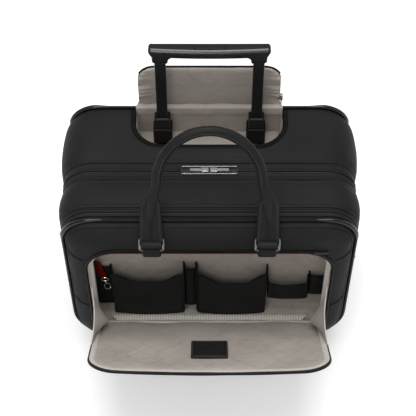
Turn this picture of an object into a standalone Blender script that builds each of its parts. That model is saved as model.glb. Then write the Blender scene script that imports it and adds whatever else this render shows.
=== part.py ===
"""Two-wheeled rolling flight case, standing with its trolley handle partly raised, the cover of the
trolley well folded up and the front pocket dropped open. Metres, +Z up. In the design frame used
below, X runs to the right, Y runs back from the front piping, and Z runs up from the ground."""

import math

import bmesh
import bpy
from mathutils import Matrix, Vector

# Driving dimensions ------------------------------------------------------------------------------
GAP = 0.0003                # between two pieces that touch
HALF_WIDTH = 0.200          # front and back panels, inside their piping
PANEL_BOTTOM = 0.030
PANEL_TOP = 0.334
TOP_CORNER = 0.040
BOTTOM_CORNER = 0.070

FRONT_FACE = -0.016         # the front panel stands this far in front of its piping
FRONT_DEPTH = (FRONT_FACE, 0.0072)
FRONT_ZIP_DEPTH = (0.0078, 0.0220)
MIDDLE_DEPTH = (0.0223, 0.0700)
MAIN_ZIP_DEPTH = (0.0703, 0.0985)
REAR_DEPTH = (0.0988, 0.1980)
BACK_PANEL_DEPTH = (0.1983, 0.2040)

WELL_HALF_WIDTH = 0.1055    # the well in the top that the trolley handle stands in
WELL_DEPTH = (0.1303, 0.1952)
WELL_CORNER = 0.040
WELL_FLOOR = 0.2875

TUBE_X = 0.0675             # trolley legs, either side of the middle
TUBE_Y = 0.180
TUBE_LENGTH = 0.258
TUBE_WALL = 0.0014
UPPER_TUBE = (0.0155, 0.0095)
STAGE_STEP = 0.0036         # each lower stage is this much larger, walls and clearance together
GRIP_LEG_BOTTOM = 0.458

OPENING_HALF_WIDTH = 0.172  # mouth of the front pocket
OPENING = (0.094, 0.280)
OPENING_CORNER = 0.042
FLAP_HINGE = Vector((0.0, -0.0165, 0.094))
FLAP_HALF_WIDTH = 0.170
FLAP_LENGTH = 0.184
FLAP_OPEN_ANGLE = math.radians(52.5)

HANDLE_X = 0.079            # carry handle rings, either side of the middle
HANDLE_HINGE = Vector((0.0, -0.0252, 0.302))
HANDLE_LEAN = math.radians(20)
RING_WIRE = 0.002
RING_HALF_WIDTH = 0.016
RING_HEIGHT = 0.0205

COVER_HINGE = Vector((0.0, 0.2035, 0.3425))
COVER_LEAN = math.radians(3)
COVER_HALF_WIDTH = 0.1015
COVER_LENGTH = 0.074

MIDDLE_HINGE = Vector((0.0, 0.0120, 0.0275))
DOOR_HINGE = Vector((0.0, 0.0065, 0.0275))

WHEEL_RADIUS = 0.034
WHEEL_X = (0.1432, 0.1672)
WHEEL_Y = 0.178
AXLE_RADIUS = 0.004
AXLE_HOLE = 0.0044

# The origin lies under the middle of the case as it stands, open pocket flap included.
FLAP_TIP_Y = FLAP_HINGE.y - FLAP_LENGTH * math.sin(FLAP_OPEN_ANGLE)
REAR_MOST_Y = WHEEL_Y + WHEEL_RADIUS
CENTRE_Y = (FLAP_TIP_Y + REAR_MOST_Y) / 2


# Scene, collections and materials ----------------------------------------------------------------
for old in list(bpy.data.objects):
    bpy.data.objects.remove(old, do_unlink=True)

PARTS = bpy.data.collections.new("rolling_flight_case")
CUTTERS = bpy.data.collections.new("cutters")
bpy.context.scene.collection.children.link(PARTS)
bpy.context.scene.collection.children.link(CUTTERS)


def material(name, colour, roughness, metallic=0.0):
    made = bpy.data.materials.new(name)
    made.use_nodes = True
    shader = made.node_tree.nodes["Principled BSDF"]
    shader.inputs["Base Color"].default_value = (*colour, 1.0)
    shader.inputs["Roughness"].default_value = roughness
    shader.inputs["Metallic"].default_value = metallic
    return made


NYLON = material("black_nylon", (0.012, 0.012, 0.013), 0.75)
LEATHER = material("black_leather", (0.010, 0.010, 0.011), 0.45)
LINING = material("taupe_lining", (0.30, 0.26, 0.22), 0.70)
ZIP_TAPE = material("zip_tape", (0.014, 0.014, 0.015), 0.60)
GLOSS = material("gloss_guard", (0.010, 0.010, 0.010), 0.15)
PLASTIC = material("black_plastic", (0.015, 0.015, 0.016), 0.40)
RUBBER = material("wheel_rubber", (0.020, 0.020, 0.020), 0.80)
TUBE_METAL = material("dark_anodised", (0.060, 0.060, 0.065), 0.35, 1.0)
NICKEL = material("bright_nickel", (0.62, 0.61, 0.59), 0.20, 1.0)
GUNMETAL = material("gunmetal", (0.12, 0.12, 0.12), 0.28, 1.0)
RED = material("red_webbing", (0.35, 0.015, 0.020), 0.60)


# Bodies: one empty on each joint's axis ------------------------------------------------------------
class Body:
    """The empty that a group of pieces turns or slides about. A leaning group is modelled upright
    in the empty's own axes, and a straight one in the design frame."""

    def __init__(self, name, pivot, parent=None, lean=0.0):
        self.empty = bpy.data.objects.new("axis_" + name, None)
        PARTS.objects.link(self.empty)
        self.pivot = Vector(pivot)
        self.leans = lean != 0.0
        if parent is None:
            self.empty.location = pivot
        else:
            self.empty.parent = parent.empty
            self.empty.location = self.pivot - parent.pivot
        self.empty.rotation_euler.x = lean


CASE = Body("case", (0, 0, 0))
CASE.empty.location.y = -CENTRE_Y
MIDDLE = Body("middle_section", MIDDLE_HINGE, CASE)
DOOR = Body("front_door", DOOR_HINGE, MIDDLE)
FLAP = Body("pocket_flap", FLAP_HINGE, DOOR, FLAP_OPEN_ANGLE)
HANDLE = Body("carry_handle", HANDLE_HINGE, DOOR, -HANDLE_LEAN)
COVER = Body("cover_flap", COVER_HINGE, CASE, -COVER_LEAN)


def finish(piece, finish_material, body, smooth=False):
    """Gives a piece its material and hangs it on its body's empty."""
    piece.data.materials.clear()
    piece.data.materials.append(finish_material)
    piece.parent = body.empty
    if not body.leans:
        piece.location -= body.pivot
    if smooth:
        piece.data.shade_smooth()
        piece.data.set_sharp_from_angle(angle=math.radians(35))
    return piece


# Outlines ----------------------------------------------------------------------------------------
def rounded(x_range, z_range, radii, steps=5):
    """A rectangle with rounded corners, anticlockwise. The radii go lower left, lower right,
    upper right, upper left."""
    points = []
    corners = (
        (x_range[0], z_range[0], 1, 1, math.pi),
        (x_range[1], z_range[0], -1, 1, 1.5 * math.pi),
        (x_range[1], z_range[1], -1, -1, 0.0),
        (x_range[0], z_range[1], 1, -1, 0.5 * math.pi),
    )
    for (x, z, inward_x, inward_z, start), radius in zip(corners, radii):
        centre_x = x + inward_x * radius
        centre_z = z + inward_z * radius
        for step in range(steps + 1):
            angle = start + 0.5 * math.pi * step / steps
            points.append((centre_x + radius * math.cos(angle), centre_z + radius * math.sin(angle)))
    return points


def case_outline(side, top=None, steps=5):
    """The case's outline seen from the front, grown sideways by side and up and down by top."""
    top = side if top is None else top
    grown = (side + top) / 2
    low = BOTTOM_CORNER + grown
    high = TOP_CORNER + grown
    width = HALF_WIDTH + side
    heights = (PANEL_BOTTOM - top, PANEL_TOP + top)
    return rounded((-width, width), heights, (low, low, high, high), steps)


# Modelling tools -----------------------------------------------------------------------------------
AXIS_TURNS = {
    "X": Matrix(((0, 0, 1), (1, 0, 0), (0, 1, 0))).to_4x4(),
    "Y": Matrix(((1, 0, 0), (0, 0, -1), (0, 1, 0))).to_4x4(),
    "Z": Matrix.Identity(4),
}


def new_object(name, data, collection=PARTS):
    made = bpy.data.objects.new(name, data)
    collection.objects.link(made)
    return made


def as_mesh(piece):
    """Turns a curve object into a mesh object with its caps welded, in the same place."""
    name = piece.name
    bpy.context.view_layer.update()
    graph = bpy.context.evaluated_depsgraph_get()
    mesh = bpy.data.meshes.new_from_object(piece.evaluated_get(graph))
    bm = bmesh.new()
    bm.from_mesh(mesh)
    bmesh.ops.remove_doubles(bm, verts=bm.verts, dist=1e-6)
    bmesh.ops.recalc_face_normals(bm, faces=bm.faces)
    bm.to_mesh(mesh)
    bm.free()
    place = piece.matrix_world.copy()
    bpy.data.objects.remove(piece, do_unlink=True)
    made = new_object(name, mesh)
    made.matrix_world = place
    return made


def plate(name, points, low, high, axis):
    """A flat piece cut to an outline, standing from low to high along its axis. The outline's two
    numbers are the other two axes, in X, Y, Z order."""
    curve = bpy.data.curves.new(name, "CURVE")
    curve.dimensions = "2D"
    curve.fill_mode = "BOTH"
    curve.extrude = (high - low) / 2
    spline = curve.splines.new("POLY")
    spline.points.add(len(points) - 1)
    for point, (across, up) in zip(spline.points, points):
        point.co = (across, up, 0, 1)
    spline.use_cyclic_u = True
    piece = new_object(name, curve)
    piece.matrix_world = AXIS_TURNS[axis]
    piece.location["XYZ".index(axis)] = (low + high) / 2
    return as_mesh(piece)


def block(name, x_range, y_range, z_range, bevel=0.0, segments=2):
    """A block between two corners, with its edges rounded."""
    bm = bmesh.new()
    bmesh.ops.create_cube(bm, size=1)
    ranges = (x_range, y_range, z_range)
    bmesh.ops.scale(bm, vec=[high - low for low, high in ranges], verts=bm.verts)
    mesh = bpy.data.meshes.new(name)
    bm.to_mesh(mesh)
    bm.free()
    piece = new_object(name, mesh)
    piece.location = [(low + high) / 2 for low, high in ranges]
    if bevel:
        rounding = piece.modifiers.new("edges", "BEVEL")
        rounding.width = bevel
        rounding.segments = segments
    return piece


def rod(name, centre, radius, x_range, sides=16):
    """A round bar along X."""
    bm = bmesh.new()
    bmesh.ops.create_cone(bm, cap_ends=True, segments=sides, radius1=radius, radius2=radius,
                          depth=x_range[1] - x_range[0])
    bmesh.ops.rotate(bm, verts=bm.verts, matrix=Matrix.Rotation(math.pi / 2, 3, "Y"))
    mesh = bpy.data.meshes.new(name)
    bm.to_mesh(mesh)
    bm.free()
    piece = new_object(name, mesh)
    piece.location = ((x_range[0] + x_range[1]) / 2, *centre)
    return piece


def shell(name, sections, wall, close_last=False):
    """A wall swept through closed sections. Each section is a list of points with equal counts."""
    bm = bmesh.new()
    loops = []
    for section in sections:
        corners = [bm.verts.new(point) for point in section]
        pairs = zip(corners, corners[1:] + corners[:1])
        loops.append([bm.edges.new(pair) for pair in pairs])
    for first, second in zip(loops, loops[1:]):
        bmesh.ops.bridge_loops(bm, edges=first + second)
    if close_last:
        bmesh.ops.contextual_create(bm, geom=loops[-1])
    bmesh.ops.recalc_face_normals(bm, faces=bm.faces)
    middle = sum((vert.co for vert in bm.verts), Vector()) / len(bm.verts)
    outward = sum((face.calc_center_median() - middle).dot(face.normal) for face in bm.faces)
    if outward < 0:
        bmesh.ops.reverse_faces(bm, faces=bm.faces)
    mesh = bpy.data.meshes.new(name)
    bm.to_mesh(mesh)
    bm.free()
    piece = new_object(name, mesh)
    thickness = piece.modifiers.new("wall", "SOLIDIFY")
    thickness.thickness = wall
    thickness.offset = -1
    thickness.use_even_offset = True
    return piece


def sleeve(name, stations, wall, close_last=False):
    """A case wall through (depth, side growth, top growth) stations."""
    sections = []
    for depth, side, top in stations:
        sections.append([(x, depth, z) for x, z in case_outline(side, top)])
    return shell(name, sections, wall, close_last)


def wire(name, points, radius, cyclic=False, resolution=2):
    """A round wire or roll along a path."""
    curve = bpy.data.curves.new(name, "CURVE")
    curve.dimensions = "3D"
    curve.bevel_depth = radius
    curve.bevel_resolution = resolution
    curve.use_fill_caps = not cyclic
    spline = curve.splines.new("POLY")
    spline.points.add(len(points) - 1)
    for point, place in zip(spline.points, points):
        point.co = (*place, 1)
    spline.use_cyclic_u = cyclic
    return new_object(name, curve)


def turned(name, profile, steps):
    """A piece turned about the X axis from (distance along X, radius) points, closed on itself."""
    bm = bmesh.new()
    corners = [bm.verts.new((along, 0, radius)) for along, radius in profile]
    for pair in zip(corners, corners[1:] + corners[:1]):
        bm.edges.new(pair)
    bmesh.ops.spin(bm, geom=bm.verts[:] + bm.edges[:], cent=(0, 0, 0), axis=(1, 0, 0),
                   angle=2 * math.pi, steps=steps, use_merge=True)
    bmesh.ops.remove_doubles(bm, verts=bm.verts, dist=1e-6)
    bmesh.ops.recalc_face_normals(bm, faces=bm.faces)
    mesh = bpy.data.meshes.new(name)
    bm.to_mesh(mesh)
    bm.free()
    return new_object(name, mesh)


def boolean(piece, other, operation):
    """Cuts the other piece from this one, or joins it on, and files it with the cutters."""
    if other.name in PARTS.objects:
        PARTS.objects.unlink(other)
        CUTTERS.objects.link(other)
    other.hide_render = True
    other.display_type = "WIRE"
    step = piece.modifiers.new(operation.lower(), "BOOLEAN")
    step.operation = operation
    step.object = other


def cut(piece, cutter):
    boolean(piece, cutter, "DIFFERENCE")


def join(piece, other):
    boolean(piece, other, "UNION")


def keep_place(helper, body):
    """A cutter or joined helper hangs on the same empty as the piece it works on."""
    helper.parent = body.empty
    if not body.leans:
        helper.location -= body.pivot
    return helper


# Front and back piping, with the glossy guards over the upper corners ----------------------------
PIPING_RADIUS = 0.0025
PIPING_GROWTH = 0.0028
GUARD_GROWTH = (0.0057, 0.0077)
GUARD_HALF_DEPTH = 0.004
GUARD_END_X = 0.131
GUARD_END_Z = 0.280


def guard_outline(side):
    """The strip that follows one upper corner, between the two guard growths."""
    def corner_run(growth):
        radius = TOP_CORNER + growth
        centre_x = HALF_WIDTH - TOP_CORNER
        centre_z = PANEL_TOP - TOP_CORNER
        run = [(GUARD_END_X, centre_z + radius)]
        for step in range(7):
            angle = 0.5 * math.pi * (1 - step / 6)
            run.append((centre_x + radius * math.cos(angle), centre_z + radius * math.sin(angle)))
        run.append((centre_x + radius, GUARD_END_Z))
        return run

    outline = corner_run(GUARD_GROWTH[1]) + corner_run(GUARD_GROWTH[0])[::-1]
    return [(side * x, z) for x, z in outline]


REAR_PIPING_Y = 0.2010
piping_outline = case_outline(PIPING_GROWTH)
front_path = [(x, 0.0, z) for x, z in piping_outline]
finish(wire("front_piping", front_path, PIPING_RADIUS, cyclic=True, resolution=1), LEATHER, DOOR)

# The rear piping runs up and over from one wheel housing to the other.
half_count = len(piping_outline) // 4
upward = piping_outline[half_count:] + piping_outline[:half_count]
rear_path = [(x, REAR_PIPING_Y, z) for x, z in upward if abs(x) > 0.185 or z > 0.060]
finish(wire("rear_piping", rear_path, PIPING_RADIUS, resolution=1), LEATHER, CASE)
for side, hand in ((-1, "left"), (1, "right")):
    for end, depth, body in (("front", 0.0, DOOR), ("rear", REAR_PIPING_Y, CASE)):
        guard = plate(f"{end}_guard_{hand}", guard_outline(side), depth - GUARD_HALF_DEPTH,
                      depth + GUARD_HALF_DEPTH, "Y")
        finish(guard, GLOSS, body)


# Rear section: shell, back panel, trolley well ---------------------------------------------------
rear_shell = sleeve("rear_shell", (
    (REAR_DEPTH[0], 0.0080, 0.0020),
    (0.1150, 0.0125, 0.0040),
    (0.1500, 0.0140, 0.0040),
    (0.1850, 0.0100, 0.0030),
    (REAR_DEPTH[1], 0.0020, 0.0010),
), wall=0.004)
finish(rear_shell, NYLON, CASE)

back_panel = plate("back_panel", case_outline(-0.001), *BACK_PANEL_DEPTH, "Y")
finish(back_panel, NYLON, CASE)

trunk_lining = plate("trunk_lining", rounded((-0.192, 0.192), (0.037, 0.284),
                                             (0.060, 0.060, 0.004, 0.004)), 0.1640, 0.1665, "Y")
finish(trunk_lining, LINING, CASE)


def well_outline(growth):
    """The well seen from above: square at the back, well rounded at the front."""
    return rounded((-WELL_HALF_WIDTH - growth, WELL_HALF_WIDTH + growth),
                   (WELL_DEPTH[0] - growth, WELL_DEPTH[1] + min(growth, GAP)),
                   (WELL_CORNER + growth, WELL_CORNER + growth, 0.005, 0.005))


well_cutter = plate("well_cutter", well_outline(GAP), 0.25, 0.36, "Z")
cut(rear_shell, keep_place(well_cutter, CASE))

WELL_WALL = 0.002
WELL_LIP_WIDTH = 0.007
WELL_LIP = (0.3384, 0.3400)
well_sections = []
for height in (WELL_LIP[1] - GAP, WELL_FLOOR):
    well_sections.append([(x, y, height) for x, y in well_outline(0)])
trolley_well = shell("trolley_well", well_sections, WELL_WALL, close_last=True)
lip_corner = WELL_CORNER + WELL_LIP_WIDTH
well_lip = plate("well_lip", rounded((-WELL_HALF_WIDTH - WELL_LIP_WIDTH,
                                      WELL_HALF_WIDTH + WELL_LIP_WIDTH),
                                     (WELL_DEPTH[0] - WELL_LIP_WIDTH, 0.1975),
                                     (lip_corner, lip_corner, 0.003, 0.003)), *WELL_LIP, "Z")
cut(well_lip, keep_place(plate("lip_cutter", well_outline(-WELL_WALL), 0.33, 0.35, "Z"), CASE))
join(trolley_well, keep_place(well_lip, CASE))
finish(trolley_well, LINING, CASE)


# Zip bands between the sections, and the metal frame the main pulls park in ----------------------
main_zip = sleeve("main_zip", (
    (MAIN_ZIP_DEPTH[0], 0.0070, 0.0020),
    (0.0845, 0.0060, 0.0012),
    (MAIN_ZIP_DEPTH[1], 0.0070, 0.0020),
), wall=0.003)
finish(main_zip, ZIP_TAPE, CASE)

front_zip = sleeve("front_zip", (
    (FRONT_ZIP_DEPTH[0], 0.0040, 0.0010),
    (0.0150, 0.0030, 0.0006),
    (FRONT_ZIP_DEPTH[1], 0.0050, 0.0010),
), wall=0.003)
finish(front_zip, ZIP_TAPE, MIDDLE)

GARAGE_BASE = PANEL_TOP + 0.0024
zip_garage = block("zip_garage", (-0.040, 0.040), (0.0770, 0.0920),
                   (GARAGE_BASE, GARAGE_BASE + 0.0026), 0.0008, 1)
garage_slot = block("garage_slot", (-0.050, 0.050), (0.0800, 0.0890),
                    (GARAGE_BASE + 0.0008, GARAGE_BASE + 0.0060))
cut(zip_garage, keep_place(garage_slot, CASE))
finish(zip_garage, NICKEL, CASE)


# Middle section, which swings forward from the rear section --------------------------------------
middle_shell = sleeve("middle_shell", (
    (MIDDLE_DEPTH[0], 0.0060, 0.0010),
    (0.0350, 0.0110, 0.0030),
    (0.0550, 0.0115, 0.0030),
    (MIDDLE_DEPTH[1], 0.0080, 0.0020),
), wall=0.0035)
finish(middle_shell, NYLON, MIDDLE)

middle_divider = plate("middle_divider", case_outline(0.0030, -0.0030), 0.0640, 0.0680, "Y")
finish(middle_divider, LINING, MIDDLE)

laptop_sleeve = plate("laptop_sleeve", rounded((-0.180, 0.180), (0.036, 0.270),
                                               (0.050, 0.050, 0.012, 0.012)), 0.0360, 0.0410, "Y")
finish(laptop_sleeve, LINING, MIDDLE)


# Front door: domed panel with the pocket mouth, and the pocket behind it -------------------------
front_panel = sleeve("front_panel", (
    (FRONT_DEPTH[1], 0.0003, 0.0),
    (0.0, 0.0, 0.0),
    (-0.0100, -0.0050, -0.0060),
    (-0.0150, -0.0120, -0.0160),
    (FRONT_DEPTH[0], -0.0220, -0.0300),
), wall=0.0035, close_last=True)
mouth = rounded((-OPENING_HALF_WIDTH, OPENING_HALF_WIDTH), OPENING,
                (0.006, 0.006, OPENING_CORNER, OPENING_CORNER))
cut(front_panel, keep_place(plate("mouth_cutter", mouth, -0.03, 0.005, "Y"), DOOR))
finish(front_panel, NYLON, DOOR)

LINER_DEPTH = (0.0200, -0.0122)
liner_sections = []
for depth in LINER_DEPTH[::-1]:
    liner_outline = rounded((-0.1745, 0.1745), (0.0905, 0.300), (0.008, 0.008, 0.030, 0.030), 4)
    liner_sections.append([(x, depth, z) for x, z in liner_outline])
pocket_liner = shell("pocket_liner", liner_sections, wall=0.0015, close_last=True)
finish(pocket_liner, LINING, DOOR)


# Pockets sewn to the back wall of the front pocket, each open at its top -------------------------
LINER_BACK = LINER_DEPTH[0] - 0.0015 - GAP


def pouch(name, x_range, z_range, front, finish_material):
    """An open-topped pocket against the liner's back wall."""
    wall = 0.0014
    piece = block(name, x_range, (front, LINER_BACK), z_range)
    room = block(name + "_room", (x_range[0] + wall, x_range[1] - wall),
                 (front + wall, LINER_BACK - wall), (z_range[0] + wall, z_range[1] + 0.01))
    cut(piece, keep_place(room, DOOR))
    finish(piece, finish_material, DOOR)


pouch("phone_pocket_left", (-0.1420, -0.0380), (0.0960, 0.2080), 0.0010, NYLON)
pouch("pen_pocket", (-0.0365, -0.0195), (0.1120, 0.2270), 0.0060, NYLON)
pouch("phone_pocket_right", (-0.0180, 0.0830), (0.0960, 0.2080), 0.0010, NYLON)
pouch("earbud_pocket", (0.0855, 0.1455), (0.1490, 0.1930), 0.0010, NYLON)


# Pocket flap: outer skin and lining, modelled upright as when it is closed -----------------------
def flap_outline(inset):
    half = FLAP_HALF_WIDTH - inset
    return rounded((-half, half), (0.003 + inset, FLAP_LENGTH - inset),
                   (0.004, 0.004, OPENING_CORNER - inset, OPENING_CORNER - inset))


finish(plate("pocket_flap", flap_outline(0.0), 0.0, 0.0030, "Y"), NYLON, FLAP)
finish(plate("pocket_flap_lining", flap_outline(0.004), 0.0030 + GAP, 0.0050, "Y"), LINING, FLAP)

# Side gussets that hold the flap at its open angle
GUSSET_THICKNESS = 0.0012
GUSSET_RISE = 0.085
gusset_reach = (math.sin(FLAP_OPEN_ANGLE), math.cos(FLAP_OPEN_ANGLE))
for side, hand in ((-1, "left"), (1, "right")):
    inner = side * (FLAP_HALF_WIDTH + 0.0004)
    outer = inner + side * GUSSET_THICKNESS
    corner = Vector((FLAP_HINGE.y, FLAP_HINGE.z + 0.004))
    triangle = [
        (corner.x - 0.0006, corner.y),
        (corner.x - 0.0006, corner.y + GUSSET_RISE),
        (corner.x - GUSSET_RISE * gusset_reach[0], corner.y + GUSSET_RISE * gusset_reach[1]),
    ]
    gusset = plate(f"gusset_{hand}", triangle, min(inner, outer), max(inner, outer), "X")
    finish(gusset, NYLON, DOOR)


# Carry handle: rings on leather bases, flat tabs, and a rolled grip ------------------------------
BASE_HALF_WIDTH = 0.0130
RING_HOLE = RING_WIRE + 0.0004
for side, hand in ((-1, "left"), (1, "right")):
    base_x = (side * HANDLE_X - BASE_HALF_WIDTH, side * HANDLE_X + BASE_HALF_WIDTH)
    base = block(f"handle_base_{hand}", base_x, (-0.0290, FRONT_FACE - GAP), (0.2885, 0.3055))
    hole = rod(f"base_hole_{hand}", (HANDLE_HINGE.y, HANDLE_HINGE.z), RING_HOLE,
               (base_x[0] - 0.005, base_x[1] + 0.005), 12)
    cut(base, keep_place(hole, DOOR))
    finish(base, LEATHER, DOOR)

    ring_outline = rounded((side * HANDLE_X - RING_HALF_WIDTH, side * HANDLE_X + RING_HALF_WIDTH),
                           (0.0, RING_HEIGHT), (0.003,) * 4, 3)
    ring = wire(f"handle_ring_{hand}", [(x, 0, z) for x, z in ring_outline], RING_WIRE,
                cyclic=True)
    finish(ring, GUNMETAL, HANDLE)

ARCH_HALF_WIDTH = 0.068
ARCH_SPRING = 0.108         # height on the handle where the arch begins
ARCH_RISE = 0.082
GRIP_RADIUS = 0.006
arch_path = [(-0.0705, 0, 0.072), (-0.0695, 0, 0.090)]
for step in range(19):
    angle = math.pi * (1 - step / 18)
    arch_path.append((ARCH_HALF_WIDTH * math.cos(angle), 0,
                      ARCH_SPRING + ARCH_RISE * math.sin(angle)))
arch_path += [(0.0695, 0, 0.090), (0.0705, 0, 0.072)]
carry_handle = as_mesh(wire("carry_handle", arch_path, GRIP_RADIUS))

TAB_HALF_THICKNESS = 0.0036
TAB_NARROW = 0.0132
TAB_WIDE = 0.0156
for side, hand in ((-1, "left"), (1, "right")):
    tab_outline = [(-TAB_NARROW, 0.0162), (TAB_NARROW, 0.0162), (TAB_NARROW, 0.0260),
                   (TAB_WIDE, 0.0300), (TAB_WIDE, 0.0780), (0.0, 0.0880), (-TAB_WIDE, 0.0780),
                   (-TAB_WIDE, 0.0300), (-TAB_NARROW, 0.0260)]
    tab_outline = [(x + side * HANDLE_X, z) for x, z in tab_outline]
    tab = plate(f"tab_{hand}", tab_outline, -TAB_HALF_THICKNESS, TAB_HALF_THICKNESS, "Y")
    join(carry_handle, keep_place(tab, HANDLE))
    bar = rod(f"tab_hole_{hand}", (0, RING_HEIGHT), RING_HOLE,
              (side * HANDLE_X - 0.02, side * HANDLE_X + 0.02), 12)
    cut(carry_handle, keep_place(bar, HANDLE))
finish(carry_handle, LEATHER, HANDLE)


# Cover flap of the trolley well, folded up behind the handle --------------------------------------
def cover_outline(inset):
    half = COVER_HALF_WIDTH - inset
    return rounded((-half, half), (0.002 + inset, COVER_LENGTH - inset),
                   (0.002, 0.002, 0.024 - inset, 0.024 - inset))


finish(plate("cover_flap", cover_outline(0.0), 0.0, 0.0022, "Y"), NYLON, COVER)
finish(plate("cover_flap_lining", cover_outline(0.003), -0.0015, -GAP, "Y"), LINING, COVER)


# Trolley: sockets in the well, fixed outer tubes, three sliding stages and the grip --------------
def tube_size(stage):
    """Outside of a leg's stage: 0 is the upper tube, 3 the fixed outer tube."""
    return (UPPER_TUBE[0] + STAGE_STEP * stage, UPPER_TUBE[1] + STAGE_STEP * stage)


def about(middle, width):
    return (middle - width / 2, middle + width / 2)


def leg(name, side, size, z_range, bore_bottom):
    """One rectangular tube, hollow from bore_bottom up."""
    x = side * TUBE_X
    piece = block(name, about(x, size[0]), about(TUBE_Y, size[1]), z_range, 0.0020, 2)
    bore = block(name + "_bore", about(x, size[0] - 2 * TUBE_WALL),
                 about(TUBE_Y, size[1] - 2 * TUBE_WALL), (bore_bottom, z_range[1] + 0.01),
                 0.0008, 1)
    return piece, bore


SOCKET_TOP = 0.3220
OUTER_TOP = WELL_FLOOR + 0.0027
BRACKET = (0.0355, 0.0450)
outer_tubes = block("outer_tubes", (-0.083, 0.083), about(TUBE_Y, 0.021), BRACKET, 0.0015, 1)
for side, hand in ((-1, "left"), (1, "right")):
    tube, bore = leg(f"outer_tube_{hand}", side, tube_size(3), (BRACKET[0] + 0.002, OUTER_TOP),
                     BRACKET[1] + 0.001)
    join(outer_tubes, keep_place(tube, CASE))
    cut(outer_tubes, keep_place(bore, CASE))

    floor_hole = block(f"floor_hole_{hand}", about(side * TUBE_X, tube_size(3)[0] + 0.0007),
                       about(TUBE_Y, tube_size(3)[1] + 0.0007), (0.28, 0.2902))
    cut(trolley_well, keep_place(floor_hole, CASE))

    socket, socket_bore = leg(f"trolley_socket_{hand}", side,
                              (tube_size(3)[0] + 0.0012, tube_size(3)[1] + 0.0012),
                              (OUTER_TOP + GAP, SOCKET_TOP), OUTER_TOP - 0.01)
    socket_bore.scale = [(size - 2 * 0.0020) / (size - 2 * TUBE_WALL + 0.0)
                         for size in (tube_size(3)[0] + 0.0012, tube_size(3)[1] + 0.0012)] + [1]
    cut(socket, keep_place(socket_bore, CASE))
    finish(socket, PLASTIC, CASE)
finish(outer_tubes, TUBE_METAL, CASE)

LOWER_TOP = 0.3430
MIDDLE_TOP = 0.3435
stage_tops = (("upper", 0, GRIP_LEG_BOTTOM - GAP), ("middle", 1, MIDDLE_TOP),
              ("lower", 2, LOWER_TOP))
LOWER_STAGE = Body("trolley_lower", (0, TUBE_Y, LOWER_TOP), CASE)
MIDDLE_STAGE = Body("trolley_middle", (0, TUBE_Y, MIDDLE_TOP), LOWER_STAGE)
UPPER_STAGE = Body("trolley_upper", (0, TUBE_Y, GRIP_LEG_BOTTOM), MIDDLE_STAGE)
stage_bodies = {"upper": UPPER_STAGE, "middle": MIDDLE_STAGE, "lower": LOWER_STAGE}
for stage, number, top in stage_tops:
    for side, hand in ((-1, "left"), (1, "right")):
        body = stage_bodies[stage]
        tube, bore = leg(f"{stage}_tube_{hand}", side, tube_size(number),
                         (top - TUBE_LENGTH, top), top - TUBE_LENGTH - 0.01)
        cut(tube, keep_place(bore, body))
        finish(tube, TUBE_METAL, body)

GRIP_DEPTH = (0.1710, 0.1890)
GRIP_BAR = (0.4700, 0.4850)
GRIP_HALF_WIDTH = 0.083
trolley_grip = block("trolley_grip", (-GRIP_HALF_WIDTH, GRIP_HALF_WIDTH), GRIP_DEPTH, GRIP_BAR,
                     0.0040, 2)
for side, hand in ((-1, "left"), (1, "right")):
    grip_leg = block(f"grip_leg_{hand}", about(side * TUBE_X, 0.0223), about(TUBE_Y, 0.0168),
                     (GRIP_LEG_BOTTOM, GRIP_BAR[0] + 0.008), 0.0020, 1)
    join(trolley_grip, keep_place(grip_leg, UPPER_STAGE))
button_pocket = block("button_pocket", (-0.0206, 0.0206), (0.1744, 0.1856), (0.4770, 0.4900))
cut(trolley_grip, keep_place(button_pocket, UPPER_STAGE))
finish(trolley_grip, PLASTIC, UPPER_STAGE)

BUTTON = Body("release_button", (0, TUBE_Y, 0.4870), UPPER_STAGE)
finish(block("release_button", (-0.0200, 0.0200), (0.1750, 0.1850), (0.4805, 0.4870), 0.0008, 1),
       PLASTIC, BUTTON)


# Base plate, front feet, and the wheels in their housings -----------------------------------------
BASE_PLATE = (0.0160, 0.0255)
base_plate = block("base_plate", (-0.125, 0.125), (0.0140, 0.1900), BASE_PLATE, 0.0020, 1)
finish(base_plate, PLASTIC, CASE)

FOOT_RADIUS = 0.013
for side, hand in ((-1, "left"), (1, "right")):
    foot_outline = []
    for step in range(16):
        angle = 2 * math.pi * step / 16
        foot_outline.append((side * 0.100 + FOOT_RADIUS * math.cos(angle),
                             0.034 + FOOT_RADIUS * math.sin(angle)))
    foot = plate(f"front_foot_{hand}", foot_outline, 0.0, BASE_PLATE[0] - GAP, "Z")
    finish(foot, RUBBER, CASE)

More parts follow.
